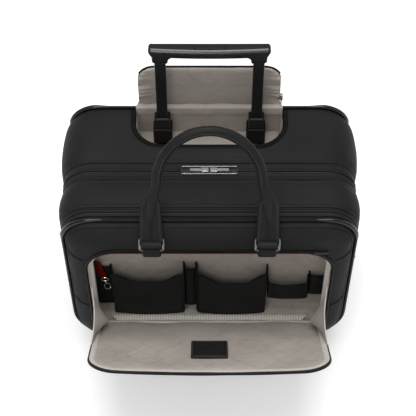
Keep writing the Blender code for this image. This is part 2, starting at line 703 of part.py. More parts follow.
HOUSING_X = (0.1355, 0.1749)
HOUSING_Y = (0.1398, 0.2075)
HOUSING_Z = (0.0105, 0.0830)
for side, hand in ((-1, "left"), (1, "right")):
    def across(x_range):
        return tuple(sorted(side * x for x in x_range))

    housing_room = block(f"housing_room_{hand}", across((HOUSING_X[0] - GAP, HOUSING_X[1] + GAP)),
                         (HOUSING_Y[0] - GAP, 0.25), (-0.01, HOUSING_Z[1] + GAP))
    for wall in (rear_shell, back_panel, trunk_lining):
        cut(wall, housing_room)
    keep_place(housing_room, CASE)

    housing = block(f"wheel_housing_{hand}", across(HOUSING_X), HOUSING_Y, HOUSING_Z, 0.0060, 2)
    wheel_room = rod(f"wheel_room_{hand}", (WHEEL_Y, WHEEL_RADIUS), WHEEL_RADIUS + 0.0035,
                     across((WHEEL_X[0] - 0.0008, WHEEL_X[1] + 0.0008)), 32)
    axle_hole = rod(f"axle_hole_{hand}", (WHEEL_Y, WHEEL_RADIUS), AXLE_HOLE,
                    across((HOUSING_X[0] - 0.01, HOUSING_X[1] + 0.01)), 16)
    cut(housing, keep_place(wheel_room, CASE))
    cut(housing, keep_place(axle_hole, CASE))
    finish(housing, PLASTIC, CASE)

    axle = rod(f"axle_{hand}", (WHEEL_Y, WHEEL_RADIUS), AXLE_RADIUS,
               across((HOUSING_X[0] + 0.0008, HOUSING_X[1] + 0.0015)), 16)
    axle_head = rod(f"axle_head_{hand}", (WHEEL_Y, WHEEL_RADIUS), 0.0065,
                    across((HOUSING_X[1] + GAP, HOUSING_X[1] + 0.0022)), 16)
    head_room = rod(f"head_room_{hand}", (WHEEL_Y, WHEEL_RADIUS), 0.0075,
                    across((HOUSING_X[1] - 0.01, HOUSING_X[1] + 0.02)), 16)
    cut(rear_shell, keep_place(head_room, CASE))
    join(axle, keep_place(axle_head, CASE))
    finish(axle, GUNMETAL, CASE)

    shoulder = 0.005
    hub_inset = 0.003
    profile = [(WHEEL_X[0] + hub_inset, AXLE_HOLE), (WHEEL_X[0] + hub_inset, 0.018),
               (WHEEL_X[0], 0.021), (WHEEL_X[0], WHEEL_RADIUS - shoulder),
               (WHEEL_X[0] + shoulder, WHEEL_RADIUS), (WHEEL_X[1] - shoulder, WHEEL_RADIUS),
               (WHEEL_X[1], WHEEL_RADIUS - shoulder), (WHEEL_X[1], 0.021),
               (WHEEL_X[1] - hub_inset, 0.018), (WHEEL_X[1] - hub_inset, AXLE_HOLE)]
    wheel = turned(f"wheel_{hand}", [(side * x, radius) for x, radius in profile], 32)
    wheel.location = (0, WHEEL_Y, WHEEL_RADIUS)
    finish(wheel, RUBBER, Body(f"wheel_{hand}", (0, WHEEL_Y, WHEEL_RADIUS), CASE), smooth=True)


# Zip pulls: a slider with a flat tab, each on its own straight run of zip -------------------------
def zip_pull(name, body, slider, tab, finish_material):
    """A slider block with its pull tab joined on. Each is (x range, y range, z range)."""
    piece = block(name, *slider, 0.0006, 1)
    join(piece, keep_place(block(name + "_tab", *tab), body))
    finish(piece, finish_material, body)


PULL_Z = (GARAGE_BASE + 0.0012, GARAGE_BASE + 0.0044)
for side, hand in ((-1, "left"), (1, "right")):
    body = Body(f"main_pull_{hand}", (side * 0.010, 0.0845, PULL_Z[0]), CASE)
    zip_pull(f"main_pull_{hand}", body,
             (tuple(sorted((side * 0.0010, side * 0.0110))), (0.0810, 0.0880), PULL_Z),
             (tuple(sorted((side * 0.0100, side * 0.0270))), (0.0820, 0.0870),
              (PULL_Z[0] + 0.0008, PULL_Z[0] + 0.0022)), NICKEL)

ZIP_SIDE = HALF_WIDTH + 0.0060
for side, hand, top in ((-1, "left", 0.285), (1, "right", 0.228)):
    body = Body(f"front_pull_{hand}", (side * ZIP_SIDE, 0.015, top), MIDDLE)
    zip_pull(f"front_pull_{hand}", body,
             (tuple(sorted((side * ZIP_SIDE, side * (ZIP_SIDE + 0.0034)))), (0.0115, 0.0185),
              (top - 0.011, top)),
             (tuple(sorted((side * (ZIP_SIDE + 0.0012), side * (ZIP_SIDE + 0.0026)))),
              (0.0125, 0.0175), (top - 0.034, top - 0.009)), NICKEL)

PULL_REAR = FRONT_FACE - GAP
pocket_pull_body = Body("pocket_pull", (0.148, PULL_REAR, 0.285), DOOR)
zip_pull("pocket_pull", pocket_pull_body,
         ((0.1430, 0.1520), (PULL_REAR - 0.0032, PULL_REAR), (0.2802, 0.2872)),
         ((0.1510, 0.1650), (PULL_REAR - 0.0024, PULL_REAR - 0.0010), (0.2812, 0.2862)), GUNMETAL)

COVER_PULL = Body("cover_pull", (COVER_HALF_WIDTH, 0, 0.008), COVER)
COVER_PULL.leans = True
COVER_PULL.empty.location = (COVER_HALF_WIDTH, 0, 0.008)
zip_pull("cover_pull", COVER_PULL,
         ((GAP, 0.0040), (-0.0025, 0.0035), (0.0, 0.0100)),
         ((0.0012, 0.0028), (-0.0020, 0.0030), (-0.0070, 0.0010)), NICKEL)


# Key leash: a red strap with a swivel hook, hung inside the front pocket --------------------------
LEASH_TOP = Vector((-0.158, 0.0155, 0.229))
LEASH = Body("key_leash", LEASH_TOP, DOOR)
key_leash = block("key_leash", about(LEASH_TOP.x, 0.007), about(LEASH_TOP.y, 0.0014),
                  (0.180, LEASH_TOP.z))
for name, width, depth, z_range in (("leash_swivel", 0.009, 0.0040, (0.172, 0.182)),
                                    ("leash_hook", 0.004, 0.0030, (0.150, 0.174))):
    join(key_leash, keep_place(block(name, about(LEASH_TOP.x, width), about(LEASH_TOP.y, depth),
                                     z_range), LEASH))
finish(key_leash, RED, LEASH)
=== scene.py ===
import math

import bmesh
import bpy
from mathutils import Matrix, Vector, noise


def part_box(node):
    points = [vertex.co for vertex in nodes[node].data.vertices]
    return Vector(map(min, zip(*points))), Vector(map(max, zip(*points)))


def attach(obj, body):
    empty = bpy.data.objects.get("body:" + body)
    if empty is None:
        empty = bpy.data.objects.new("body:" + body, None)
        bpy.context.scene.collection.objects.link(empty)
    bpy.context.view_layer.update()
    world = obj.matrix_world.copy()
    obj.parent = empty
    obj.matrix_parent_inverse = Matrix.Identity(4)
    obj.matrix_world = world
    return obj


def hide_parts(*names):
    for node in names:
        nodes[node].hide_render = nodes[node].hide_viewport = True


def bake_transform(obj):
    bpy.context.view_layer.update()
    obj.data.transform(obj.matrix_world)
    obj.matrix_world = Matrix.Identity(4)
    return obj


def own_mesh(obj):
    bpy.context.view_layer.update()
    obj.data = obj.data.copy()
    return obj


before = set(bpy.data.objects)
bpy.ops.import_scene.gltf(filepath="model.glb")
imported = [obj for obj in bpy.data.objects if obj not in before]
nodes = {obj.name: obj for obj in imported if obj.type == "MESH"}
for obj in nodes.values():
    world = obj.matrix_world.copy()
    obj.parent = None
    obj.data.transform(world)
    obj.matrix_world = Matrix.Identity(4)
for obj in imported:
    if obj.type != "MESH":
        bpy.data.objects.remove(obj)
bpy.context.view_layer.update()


# The room: a white paper floor under three soft lamps. The floor glows a little, so that it stays
# white round the dark case. The camera looks down on the case's front.
bpy.ops.object.select_all(action="DESELECT")
bpy.ops.mesh.primitive_plane_add(size=14)
floor = bpy.context.object
floor.name = "floor"
paper = bpy.data.materials.new("white_paper")
paper.use_nodes = True
paper.node_tree.nodes["Principled BSDF"].inputs["Base Color"].default_value = (0.9, 0.9, 0.9, 1)
paper.node_tree.nodes["Principled BSDF"].inputs["Roughness"].default_value = 0.9
paper.node_tree.nodes["Principled BSDF"].inputs["Emission Color"].default_value = (1, 1, 1, 1)
paper.node_tree.nodes["Principled BSDF"].inputs["Emission Strength"].default_value = 0.32
floor.data.materials.append(paper)

room = bpy.data.worlds.new("room")
room.use_nodes = True
room.node_tree.nodes["Background"].inputs["Color"].default_value = (1, 1, 1, 1)
room.node_tree.nodes["Background"].inputs["Strength"].default_value = 0.42
bpy.context.scene.world = room


def softbox(name, place, target, size, power):
    bpy.ops.object.light_add(type="AREA", location=place)
    lamp = bpy.context.object
    lamp.name = name
    lamp.data.size = size
    lamp.data.energy = power
    lamp.rotation_euler = (Vector(target) - Vector(place)).to_track_quat("-Z", "Y").to_euler()


softbox("top_softbox", (0.0, 0.10, 2.4), (0, 0.0, 0.3), 1.5, 40)
softbox("front_softbox", (-0.5, -1.6, 2.2), (0, -0.05, 0.2), 1.0, 17)
softbox("right_softbox", (1.8, -0.5, 1.4), (0, 0, 0.2), 0.9, 2)

bpy.ops.object.camera_add(location=(-0.002, -0.97396, 1.6817), rotation=(math.radians(35.8), 0, 0))
camera = bpy.context.object
camera.data.sensor_width = 36
camera.data.lens = 105.2
bpy.context.scene.camera = camera
bpy.context.scene.view_settings.view_transform = "Standard"


# Walls of the case: black ballistic nylon over thin foam and board. Each is one wrap of cloth, turned
# in at its edges, with sewn welts where the next section joins it.
class Field:
    """A value over a material's surface. Arithmetic on it adds Math nodes."""

    def __init__(self, tree, socket):
        self.tree = tree
        self.socket = socket

    def add(self, kind, settings, inputs, output=0):
        node = self.tree.nodes.new(kind)
        for name, value in settings.items():
            if name == "stops":
                for stop, (position, colour) in zip(node.color_ramp.elements, value):
                    stop.position = position
                    stop.color = colour
            else:
                setattr(node, name, value)
        for key, value in inputs.items():
            if isinstance(value, Field):
                self.tree.links.new(value.socket, node.inputs[key])
            else:
                node.inputs[key].default_value = value
        return Field(self.tree, node.outputs[output])

    def math(self, operation, *others):
        return self.add("ShaderNodeMath", {"operation": operation}, dict(enumerate((self, *others))))

    def __add__(self, other):
        return self.math("ADD", other)

    def __mul__(self, other):
        return self.math("MULTIPLY", other)

    def __sub__(self, other):
        return self.math("SUBTRACT", other)

    def __rsub__(self, other):
        return self.add("ShaderNodeMath", {"operation": "SUBTRACT"}, {0: other, 1: self})

    __radd__ = __add__
    __rmul__ = __mul__

    def axes(self):
        return [self.add("ShaderNodeSeparateXYZ", {}, {0: self}, i) for i in range(3)]

    def cloud(self, scale, detail=2.0):
        return self.add("ShaderNodeTexNoise", {}, {"Vector": self, "Scale": scale, "Detail": detail})

    def cells(self, scale, feature="F1"):
        return self.add("ShaderNodeTexVoronoi", {"feature": feature}, {"Vector": self, "Scale": scale})

    def between(self, low, high):
        """This field, from 0 to 1, picks a colour from low to high."""
        return self.add("ShaderNodeMix", {"data_type": "RGBA"}, {0: self, 6: (*low, 1), 7: (*high, 1)}, 2)

    def bump(self, height, strength=1.0):
        return self.add("ShaderNodeBump", {}, {"Height": self, "Distance": height, "Strength": strength})


def start_finish(name, **fixed):
    """A new material, a way to link fields to its shader, and the place on the object in metres."""
    made = bpy.data.materials.new(name)
    made.use_nodes = True
    tree = made.node_tree
    shader = tree.nodes["Principled BSDF"]
    for socket, value in fixed.items():
        shader.inputs[socket.replace("_", " ")].default_value = value

    def link(socket, field):
        tree.links.new(field.socket, shader.inputs[socket])

    return made, link, Field(tree, tree.nodes.new("ShaderNodeTexCoord").outputs["Object"])


def woven(name, dark, light, pitch, relief, rough, sheen, shine, quilt=0.0, creased=False):
    """Plain-woven cloth: threads crossing on the diagonal, a little uneven in shade."""
    made, link, place = start_finish(name, Sheen_Weight=sheen, Sheen_Roughness=0.45,
                                     Specular_IOR_Level=shine)
    x, y, z = place.axes()
    turn = 2 * math.pi / pitch
    warp = ((x + y + z) * turn).math("SINE")
    weft = ((x - y - z) * turn).math("SINE")
    weave = (warp * weft) * 0.5 + 0.5
    shade = place.cloud(14, 3) * 0.55 + place.cloud(420, 2) * 0.25 + weave * 0.20
    height = weave + place.cloud(90, 3) * 1.4
    if quilt:
        along = z - y * 0.5
        lines = []
        for way in (x + along, x - along):
            lines.append((way * (math.pi / quilt)).math("SINE").math("ABSOLUTE"))
        groove = lines[0].math("MINIMUM", lines[1]).math("MULTIPLY", 10.0).math("MINIMUM", 1.0)
        # The quilt lines are also darkened in colour: painted shade in the stitched grooves.
        shade = shade * (groove * 0.48 + 0.52)
        height = height + groove * 6.0
    if creased:
        fold = ((place.cloud(17, 2.5) - 0.5).math("ABSOLUTE") * 26).math("MINIMUM", 1.0)
        # The crease lines are also darkened in colour: painted shade in the creases.
        shade = shade * (fold * 0.16 + 0.84)
        height = height + fold * 5.0
    link("Base Color", shade.between(dark, light))
    link("Roughness", place.cloud(60, 2) * 0.18 + (rough - 0.09))
    link("Normal", height.bump(relief, 0.6))
    return made


nylon = woven("black_nylon", (0.0085, 0.0085, 0.0087), (0.0250, 0.0250, 0.0253), 0.0009, 0.00010,
              0.52, 0.0, 0.05)
lining = woven("taupe_lining", (0.190, 0.165, 0.143), (0.520, 0.468, 0.420), 0.0008, 0.00008,
               0.50, 0.15, 0.3, quilt=0.028, creased=True)
plain_lining = woven("plain_lining", (0.190, 0.165, 0.143), (0.470, 0.423, 0.379), 0.0008, 0.00008,
                     0.50, 0.15, 0.3, creased=True)

FRONT_Y = (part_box("front_piping")[0][1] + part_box("front_piping")[1][1]) / 2
HALF_WIDTH = 0.200
LOW = 0.030
HIGH = 0.334
LOW_CORNER = 0.070
HIGH_CORNER = 0.040


def rounded_loop(x_range, z_range, low_corner, high_corner):
    """Points round a rectangle with rounded corners, as many on each side whatever its size."""
    (x0, x1), (z0, z1) = x_range, z_range
    low_corner, high_corner = max(low_corner, 0.0005), max(high_corner, 0.0005)
    points = []
    sides = (
        ((x0 + low_corner, z0 + low_corner), low_corner, 180, (x1 - low_corner, z0), 30),
        ((x1 - low_corner, z0 + low_corner), low_corner, 270, (x1, z1 - high_corner), 22),
        ((x1 - high_corner, z1 - high_corner), high_corner, 0, (x0 + high_corner, z1), 30),
        ((x0 + high_corner, z1 - high_corner), high_corner, 90, (x0, z0 + low_corner), 22),
    )
    for (cx, cz), radius, start, end, steps in sides:
        for step in range(10):
            angle = math.radians(start + 9 * step)
            points.append((cx + radius * math.cos(angle), cz + radius * math.sin(angle)))
        angle = math.radians(start + 90)
        corner_end = (cx + radius * math.cos(angle), cz + radius * math.sin(angle))
        for step in range(steps):
            share = step / steps
            points.append((corner_end[0] + (end[0] - corner_end[0]) * share,
                           corner_end[1] + (end[1] - corner_end[1]) * share))
    return points


def case_loop(side, top):
    """The case's outline grown sideways by side, and up and down by top."""
    grown = (side + top) / 2
    width = HALF_WIDTH + side
    return rounded_loop((-width, width), (LOW - top, HIGH + top), LOW_CORNER + grown,
                        HIGH_CORNER + grown)


def loft(name, rings, cap=False, flip=False):
    """A skin through rings that have equal numbers of points."""
    count = len(rings[0])
    faces = []
    for ring in range(len(rings) - 1):
        for i in range(count):
            j = (i + 1) % count
            corners = (ring * count + i, ring * count + j, (ring + 1) * count + j,
                       (ring + 1) * count + i)
            faces.append(corners[::-1] if flip else corners)
    if cap:
        last = tuple(range((len(rings) - 1) * count, len(rings) * count))
        faces.append(last[::-1] if flip else last)
    if cap == "both":
        first = tuple(range(count))
        faces.append(first if flip else first[::-1])
    mesh = bpy.data.meshes.new(name)
    mesh.from_pydata([point for ring in rings for point in ring], [], faces)
    skin = bpy.data.objects.new(name, mesh)
    bpy.context.scene.collection.objects.link(skin)
    return skin


def only(piece):
    bpy.ops.object.select_all(action="DESELECT")
    piece.select_set(True)
    bpy.context.view_layer.objects.active = piece


def apply_all(piece):
    only(piece)
    for modifier in list(piece.modifiers):
        bpy.ops.object.modifier_apply(modifier=modifier.name)


def thicken(piece, wall, inside=None):
    """Gives a skin its wall, inwards. The inside takes the second material."""
    step = piece.modifiers.new("wall", "SOLIDIFY")
    step.thickness = wall
    step.offset = -1
    if inside is not None:
        step.material_offset = 1
    apply_all(piece)


def ruffle(piece, size, depth, seed):
    """Cloth is never quite flat: each point moves a little along its normal."""
    for vertex in piece.data.vertices:
        value = noise.noise(vertex.co / size + Vector((seed, 2.3 * seed, 0.7)))
        vertex.co += vertex.normal * value * depth


def carve(piece, cutters):
    """Takes the cutters out of a piece and removes them."""
    for cutter in cutters:
        step = piece.modifiers.new("opening", "BOOLEAN")
        step.operation = "DIFFERENCE"
        step.use_self = True
        step.object = cutter
    apply_all(piece)
    for cutter in cutters:
        bpy.data.objects.remove(cutter, do_unlink=True)


def dress(piece, body, materials, stands_for=(), smooth=35):
    """Gives a finished piece its materials and the body it moves with."""
    if not isinstance(materials, (list, tuple)):
        materials = [materials]
    for material in materials:
        if piece.data.materials.find(material.name) < 0:
            piece.data.materials.append(material)
    if smooth:
        only(piece)
        bpy.ops.object.shade_smooth_by_angle(angle=math.radians(smooth))
    if body:
        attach(piece, body)
    if stands_for:
        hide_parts(*stands_for)
    return piece


def bar(name, x_range, y_range, z_range, edge=0.0, segments=3):
    """A block between two corners, its edges rounded."""
    ranges = (x_range, y_range, z_range)
    bpy.ops.object.select_all(action="DESELECT")
    bpy.ops.mesh.primitive_cube_add(size=1, location=[(low + high) / 2 for low, high in ranges],
                                    scale=[high - low for low, high in ranges])
    made = bpy.context.object
    made.name = name
    bpy.ops.object.transform_apply(location=True, rotation=True, scale=True)
    if edge:
        rounding = made.modifiers.new("edges", "BEVEL")
        rounding.width = edge
        rounding.segments = segments
        apply_all(made)
    return made


def wall(name, stations, body, stands_for, seed, cutters=(), thickness=0.0035, ripple=0.0012):
    """One wrap of cloth round the case, lined inside. A station is its depth and how far it stands
    out from the case's outline, sideways and upwards."""
    rings = []
    for depth, side, top in stations:
        rings.append([(x, depth + FRONT_Y, z) for x, z in case_loop(side, top)])
    piece = loft(name, rings, flip=True)
    piece.data.materials.append(nylon)
    piece.data.materials.append(lining)
    ruffle(piece, 0.055, ripple, seed)
    thicken(piece, thickness, inside=True)
    if cutters:
        carve(piece, cutters)
    return dress(piece, body, nylon, stands_for)


WELL_HALF = 0.1055
WELL_FRONT = 0.1303 + FRONT_Y
WELL_BACK = 0.1952 + FRONT_Y
WELL_CORNER = 0.040
WELL_BACK_CORNER = 0.003


def well_loop(grow):
    """The trolley well from above: rounded at the front, square at the back."""
    return rounded_loop((-WELL_HALF - grow, WELL_HALF + grow), (WELL_FRONT - grow, WELL_BACK),
                        WELL_CORNER + grow, WELL_BACK_CORNER)


def well_plug():
    return loft_block("well_plug", well_loop(0.0006), 0.25, 0.36)


def loft_block(name, outline, low, high):
    return loft(name, [[(x, y, z) for x, y in outline] for z in (low, high)], cap="both")


def wheel_rooms():
    made = []
    for hand in ("left", "right"):
        low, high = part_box("wheel_housing_" + hand)
        made.append(bar("room_" + hand, (low[0] - 0.0004, high[0] + 0.0004),
                        (low[1] - 0.0004, 0.30), (-0.02, high[2] + 0.0004)))
    return made


wall("rear_wall", (
    (0.0988, 0.0066, 0.0012), (0.0994, 0.0082, 0.0026), (0.1026, 0.0090, 0.0032),
    (0.1034, 0.0086, 0.0028), (0.1042, 0.0092, 0.0034), (0.1068, 0.0100, 0.0038),
    (0.1076, 0.0098, 0.0036), (0.1084, 0.0104, 0.0041), (0.118, 0.0128, 0.0046),
    (0.132, 0.0142, 0.0048), (0.150, 0.0144, 0.0044), (0.168, 0.0130, 0.0038),
    (0.181, 0.0112, 0.0032), (0.188, 0.0094, 0.0028), (0.194, 0.0064, 0.0018),
    (0.198, 0.0030, 0.0006),
), "case", ("rear_shell",), 1.0, [well_plug(), *wheel_rooms()])

wall("middle_wall", (
    (0.0223, 0.0046, 0.0004), (0.0229, 0.0064, 0.0018), (0.0262, 0.0080, 0.0028),
    (0.0270, 0.0078, 0.0025), (0.0278, 0.0088, 0.0032), (0.036, 0.0112, 0.0042),
    (0.045, 0.0120, 0.0044), (0.055, 0.0116, 0.0042), (0.0632, 0.0100, 0.0036),
    (0.0640, 0.0095, 0.0031), (0.0648, 0.0098, 0.0034), (0.0690, 0.0084, 0.0024),
    (0.0700, 0.0066, 0.0010),
), "middle_section", ("middle_shell",), 2.0)


# Zip bands: woven tape between two folded lips of nylon that nearly meet over the coil. One band is
# sewn to the rear section and one to the middle section.
wall("main_zip_band", (
    (0.0703, 0.0062, 0.0010), (0.0709, 0.0074, 0.0020), (0.0738, 0.0074, 0.0020),
    (0.0746, 0.0068, 0.0015), (0.0754, 0.0078, 0.0024), (0.0800, 0.0086, 0.0030),
    (0.0814, 0.0080, 0.0026), (0.0818, 0.0066, 0.0014), (0.0821, 0.0052, 0.0002),
    (0.0843, 0.0052, 0.0002), (0.0846, 0.0066, 0.0014), (0.0850, 0.0080, 0.0026),
    (0.0864, 0.0086, 0.0030), (0.0878, 0.0078, 0.0024), (0.0886, 0.0070, 0.0016),
    (0.0894, 0.0078, 0.0022), (0.0955, 0.0078, 0.0022), (0.0978, 0.0074, 0.0018),
    (0.0985, 0.0062, 0.0008),
), "case", ("main_zip",), 3.0, thickness=0.0025, ripple=0.0005)

wall("front_zip_band", (
    (0.0079, 0.0034, 0.0004), (0.0084, 0.0044, 0.0014), (0.0112, 0.0050, 0.0018),
    (0.0118, 0.0040, 0.0010), (0.0122, 0.0026, -0.0004), (0.0142, 0.0026, -0.0004),
    (0.0146, 0.0040, 0.0010), (0.0152, 0.0052, 0.0020), (0.0180, 0.0054, 0.0022),
    (0.0186, 0.0042, 0.0012), (0.0192, 0.0054, 0.0020), (0.0212, 0.0052, 0.0018),
    (0.0220, 0.0040, 0.0006),
), "middle_section", ("front_zip",), 4.0, thickness=0.0025, ripple=0.0005)


def rolled(name, points, radius, radii=None, cyclic=False, fineness=3):
    """A round cord, roll or wire along a path, as a mesh."""
    curve = bpy.data.curves.new(name, "CURVE")
    curve.dimensions = "3D"
    curve.bevel_depth = radius
    curve.bevel_resolution = fineness
    curve.use_fill_caps = not cyclic
    spline = curve.splines.new("POLY")
    spline.points.add(len(points) - 1)
    for index, place in enumerate(points):
        spline.points[index].co = (*place, 1)
        if radii:
            spline.points[index].radius = radii[index]
    spline.use_cyclic_u = cyclic
    made = bpy.data.objects.new(name, curve)
    bpy.context.scene.collection.objects.link(made)
    only(made)
    bpy.ops.object.convert(target="MESH")
    return bpy.context.object


zip_coil = woven("zip_coil", (0.004, 0.004, 0.004), (0.026, 0.026, 0.026), 0.0024, 0.00040,
                 0.45, 0.0, 0.3)
for name, depth, side, top, body in (("main_zip_coil", 0.0832, 0.0054, 0.0004, "case"),
                                     ("front_zip_coil", 0.0132, 0.0028, -0.0002,
                                      "middle_section")):
    path = [(x, depth + FRONT_Y, z) for x, z in case_loop(side, top)]
    dress(rolled(name, path, 0.0011, cyclic=True, fineness=2), body, zip_coil)


# Front door: one domed panel of nylon. A padded welt runs round the mouth of the pocket and covers
# its zip.
MOUTH_HALF = 0.172
MOUTH = (0.094, 0.280)
MOUTH_LOW_CORNER = 0.006
MOUTH_HIGH_CORNER = 0.042
DOME_DEPTH = 0.016
FACE_Y = FRONT_Y - DOME_DEPTH


def mouth_loop(grow):
    return rounded_loop((-MOUTH_HALF - grow, MOUTH_HALF + grow), (MOUTH[0] - grow, MOUTH[1] + grow),
                        MOUTH_LOW_CORNER + grow, MOUTH_HIGH_CORNER + grow)


def mouth_ring(side, top, depth):
    """The mouth grown at its sides and at its top, at a depth behind the door's face."""
    loop = rounded_loop((-MOUTH_HALF - side, MOUTH_HALF + side), (MOUTH[0] - side, MOUTH[1] + top),
                        MOUTH_LOW_CORNER + side, MOUTH_HIGH_CORNER + (side + top) / 2)
    return [(x, FACE_Y + depth, z) for x, z in loop]


door_rings = [[(x, 0.0070 + FRONT_Y, z) for x, z in case_loop(0.0003, 0.0)],
              [(x, 0.0030 + FRONT_Y, z) for x, z in case_loop(0.0003, 0.0)]]
for step in range(9):
    turn = 0.5 * math.pi * step / 8
    dome = case_loop(-0.022 * (1 - math.cos(turn)), -0.030 * (1 - math.cos(turn)))
    door_rings.append([(x, FRONT_Y - DOME_DEPTH * math.sin(turn), z) for x, z in dome])
for side, top, depth in ((0.0040, 0.0120, 0.0), (0.0020, 0.0060, 0.0), (0.0005, 0.0005, 0.0005),
                         (0.0, 0.0, 0.0014), (0.0, 0.0, 0.0032)):
    door_rings.append(mouth_ring(side, top, depth))
door = loft("front_panel_skin", door_rings)
ruffle(door, 0.05, 0.0007, 5.0)
door.data.materials.append(nylon)
door.data.materials.append(lining)
thicken(door, 0.0022, inside=True)
dress(door, "front_door", nylon, ("front_panel",))


# Pocket mouth: a coated zip tape is sewn round it, with a thin red edge along the top. Pale zip tape
# shows inside both sides, and fine seams join the door's panels.
coated, link, place = start_finish("coated_tape", Specular_IOR_Level=0.10)
grain = place.cloud(700, 2)
link("Base Color", place.cloud(25, 3).between((0.0012, 0.0012, 0.0012), (0.0060, 0.0060, 0.0062)))
link("Roughness", grain * 0.15 + 0.30)
link("Normal", grain.bump(0.00008, 0.6))

thread, link, place = start_finish("black_thread", Sheen_Weight=0.2)
link("Base Color", place.cloud(900, 1).between((0.010, 0.010, 0.011), (0.045, 0.045, 0.047)))
link("Roughness", place.cloud(400, 1) * 0.2 + 0.4)

pale_tape, link, place = start_finish("pale_zip_tape", Sheen_Weight=0.2)
x, y, z = place.axes()
ribs = ((x * 0.9 + z * 0.45 - y * 0.35) * (2 * math.pi / 0.0026)).math("SINE") * 0.5 + 0.5
link("Base Color", (ribs * 0.55 + place.cloud(60, 3) * 0.4).between((0.36, 0.33, 0.29),
                                                                   (0.66, 0.63, 0.57)))
link("Roughness", place.cloud(200, 2) * 0.2 + 0.5)
link("Normal", ribs.bump(0.0004, 0.7))

red_edge, link, place = start_finish("red_edge", Sheen_Weight=0.2)
link("Base Color", place.cloud(300, 2).between((0.17, 0.004, 0.008), (0.36, 0.012, 0.018)))
link("Roughness", place.cloud(200, 2) * 0.2 + 0.45)

mouth_rings = [mouth_ring(side, top, depth) for side, top, depth in (
    (0.0046, 0.0096, 0.0012), (0.0045, 0.0094, -0.0006), (0.0040, 0.0086, -0.0014),
    (0.0030, 0.0064, -0.0017), (0.0020, 0.0040, -0.0016), (0.0010, 0.0014, -0.0013),
    (0.0002, 0.0002, -0.0004), (-0.0002, -0.0002, 0.0012), (0.0, 0.0, 0.0030))]
dress(loft("mouth_tape", mouth_rings), "front_door", coated)


def strip(name, rows):
    """A skin through open rows of points."""
    count = len(rows[0])
    faces = [(row * count + i, row * count + i + 1, (row + 1) * count + i + 1, (row + 1) * count + i)
             for row in range(len(rows) - 1) for i in range(count - 1)]
    mesh = bpy.data.meshes.new(name)
    mesh.from_pydata([point for row in rows for point in row], [], faces)
    skin = bpy.data.objects.new(name, mesh)
    bpy.context.scene.collection.objects.link(skin)
    return skin


mouth_points = mouth_loop(-0.0004)
top_edge = [(x, FACE_Y + 0.0004, z) for x, z in mouth_points if z > MOUTH[1] - 0.012]
dress(rolled("mouth_red_edge", top_edge, 0.0007, fineness=2), "front_door", red_edge)

for hand, sign in (("left", -1), ("right", 1)):
    edge = [(abs(x), z) for x, z in mouth_points if x * sign > 0.128 and z > MOUTH[0] + 0.004]
    edge.sort(key=lambda point: point[1] - 0.4 * point[0])
    rows = []
    for inward, depth in ((-0.0002, 0.0008), (0.0, 0.0040), (0.0004, 0.0064), (0.0030, 0.0072),
                          (0.0058, 0.0080), (0.0066, 0.0100), (0.0060, 0.0140)):
        rows.append([(sign * (px - inward * (1.0 if pz < 0.24 else 0.8)), FACE_Y + depth,
                      pz - inward * (0.0 if pz < 0.24 else 0.55)) for px, pz in edge])
    tape = strip("mouth_side_tape_" + hand, rows)
    thicken(tape, 0.0008)
    dress(tape, "front_door", pale_tape)


def front_of(piece, x, z, lift=0.0):
    """The point on the piece's front at x and z, lifted off it."""
    hit, place, normal, _ = piece.ray_cast(Vector((x, -0.5, z)), Vector((0, 1, 0)))
    return tuple(place + normal * lift) if hit else (x, FACE_Y - lift, z)


def seam(name, skin, ends, body, radius=0.0009, steps=14):
    """A sewn welt between points on the front of a skin."""
    points = []
    for (x0, z0), (x1, z1) in zip(ends, ends[1:]):
        for step in range(steps):
            share = step / steps
            points.append(front_of(skin, x0 + (x1 - x0) * share, z0 + (z1 - z0) * share, 0.0001))
    points.append(front_of(skin, *ends[-1], 0.0001))
    return dress(rolled(name, points, radius, fineness=2), body, coated)


door_seam = [(x, FRONT_Y - 0.0078, z) for x, z in case_loop(-0.0029, -0.0039)]
dress(rolled("door_seam", door_seam, 0.0007, cyclic=True, fineness=2), "front_door", coated)
SEAM_ACROSS = (0.1985, 0.190, 0.177)
seam_count = 0
for sign in (-1, 1):
    for heights in ((0.279, 0.270, 0.262), (0.160, 0.150, 0.142)):
        seam_count += 1
        seam("seam_%02d" % seam_count, door,
             [(sign * x, z) for x, z in zip(SEAM_ACROSS, heights)], "front_door")


# Pocket lining: a tray of quilted satin, sewn in behind the mouth. It wrinkles where it turns from
# the sides to the back.
TRAY_BACK = -0.0066
TRAY_HALF = 0.1735
TRAY_LOW = 0.0915
TRAY_HIGH = 0.2990


def tray_loop(grow):
    return rounded_loop((-TRAY_HALF - grow, TRAY_HALF + grow), (TRAY_LOW - grow, TRAY_HIGH + grow),
                        0.010, 0.040)


tray_rings = [[(x, FACE_Y + 0.0030, z) for x, z in mouth_loop(-0.0002)],
              [(x, FACE_Y + 0.0042, z) for x, z in mouth_loop(0.0008)],
              [(x, FACE_Y + 0.0075, z) for x, z in tray_loop(0.0)]]
for depth in (0.013, 0.019, 0.025, 0.030):
    tray_rings.append([(x, FACE_Y + depth, z) for x, z in tray_loop(0.0)])
tray_rings.append([(x, TRAY_BACK - 0.0010, z) for x, z in tray_loop(-0.0010)])
for inset in (0.004, 0.015, 0.030, 0.045, 0.060, 0.075, 0.090):
    tray_rings.append([(x, TRAY_BACK, z) for x, z in
                       rounded_loop((-TRAY_HALF + inset, TRAY_HALF - inset),
                                    (TRAY_LOW + inset, TRAY_HIGH - inset), 0.008,
                                    max(0.010, 0.038 - inset))])
tray = loft("pocket_tray", tray_rings, cap=True)
ruffle(tray, 0.022, 0.0011, 6.0)
thicken(tray, 0.0010)
dress(tray, "front_door", lining, ("pocket_liner",))


# Organiser pouches: black nylon folded round three sides, bound at the top edge, which dips where a
# phone is lifted out.
pouch_nylon = woven("pouch_nylon", (0.0075, 0.0075, 0.0075), (0.019, 0.019, 0.019), 0.0010, 0.00012,
                    0.6, 0.0, 0.08)


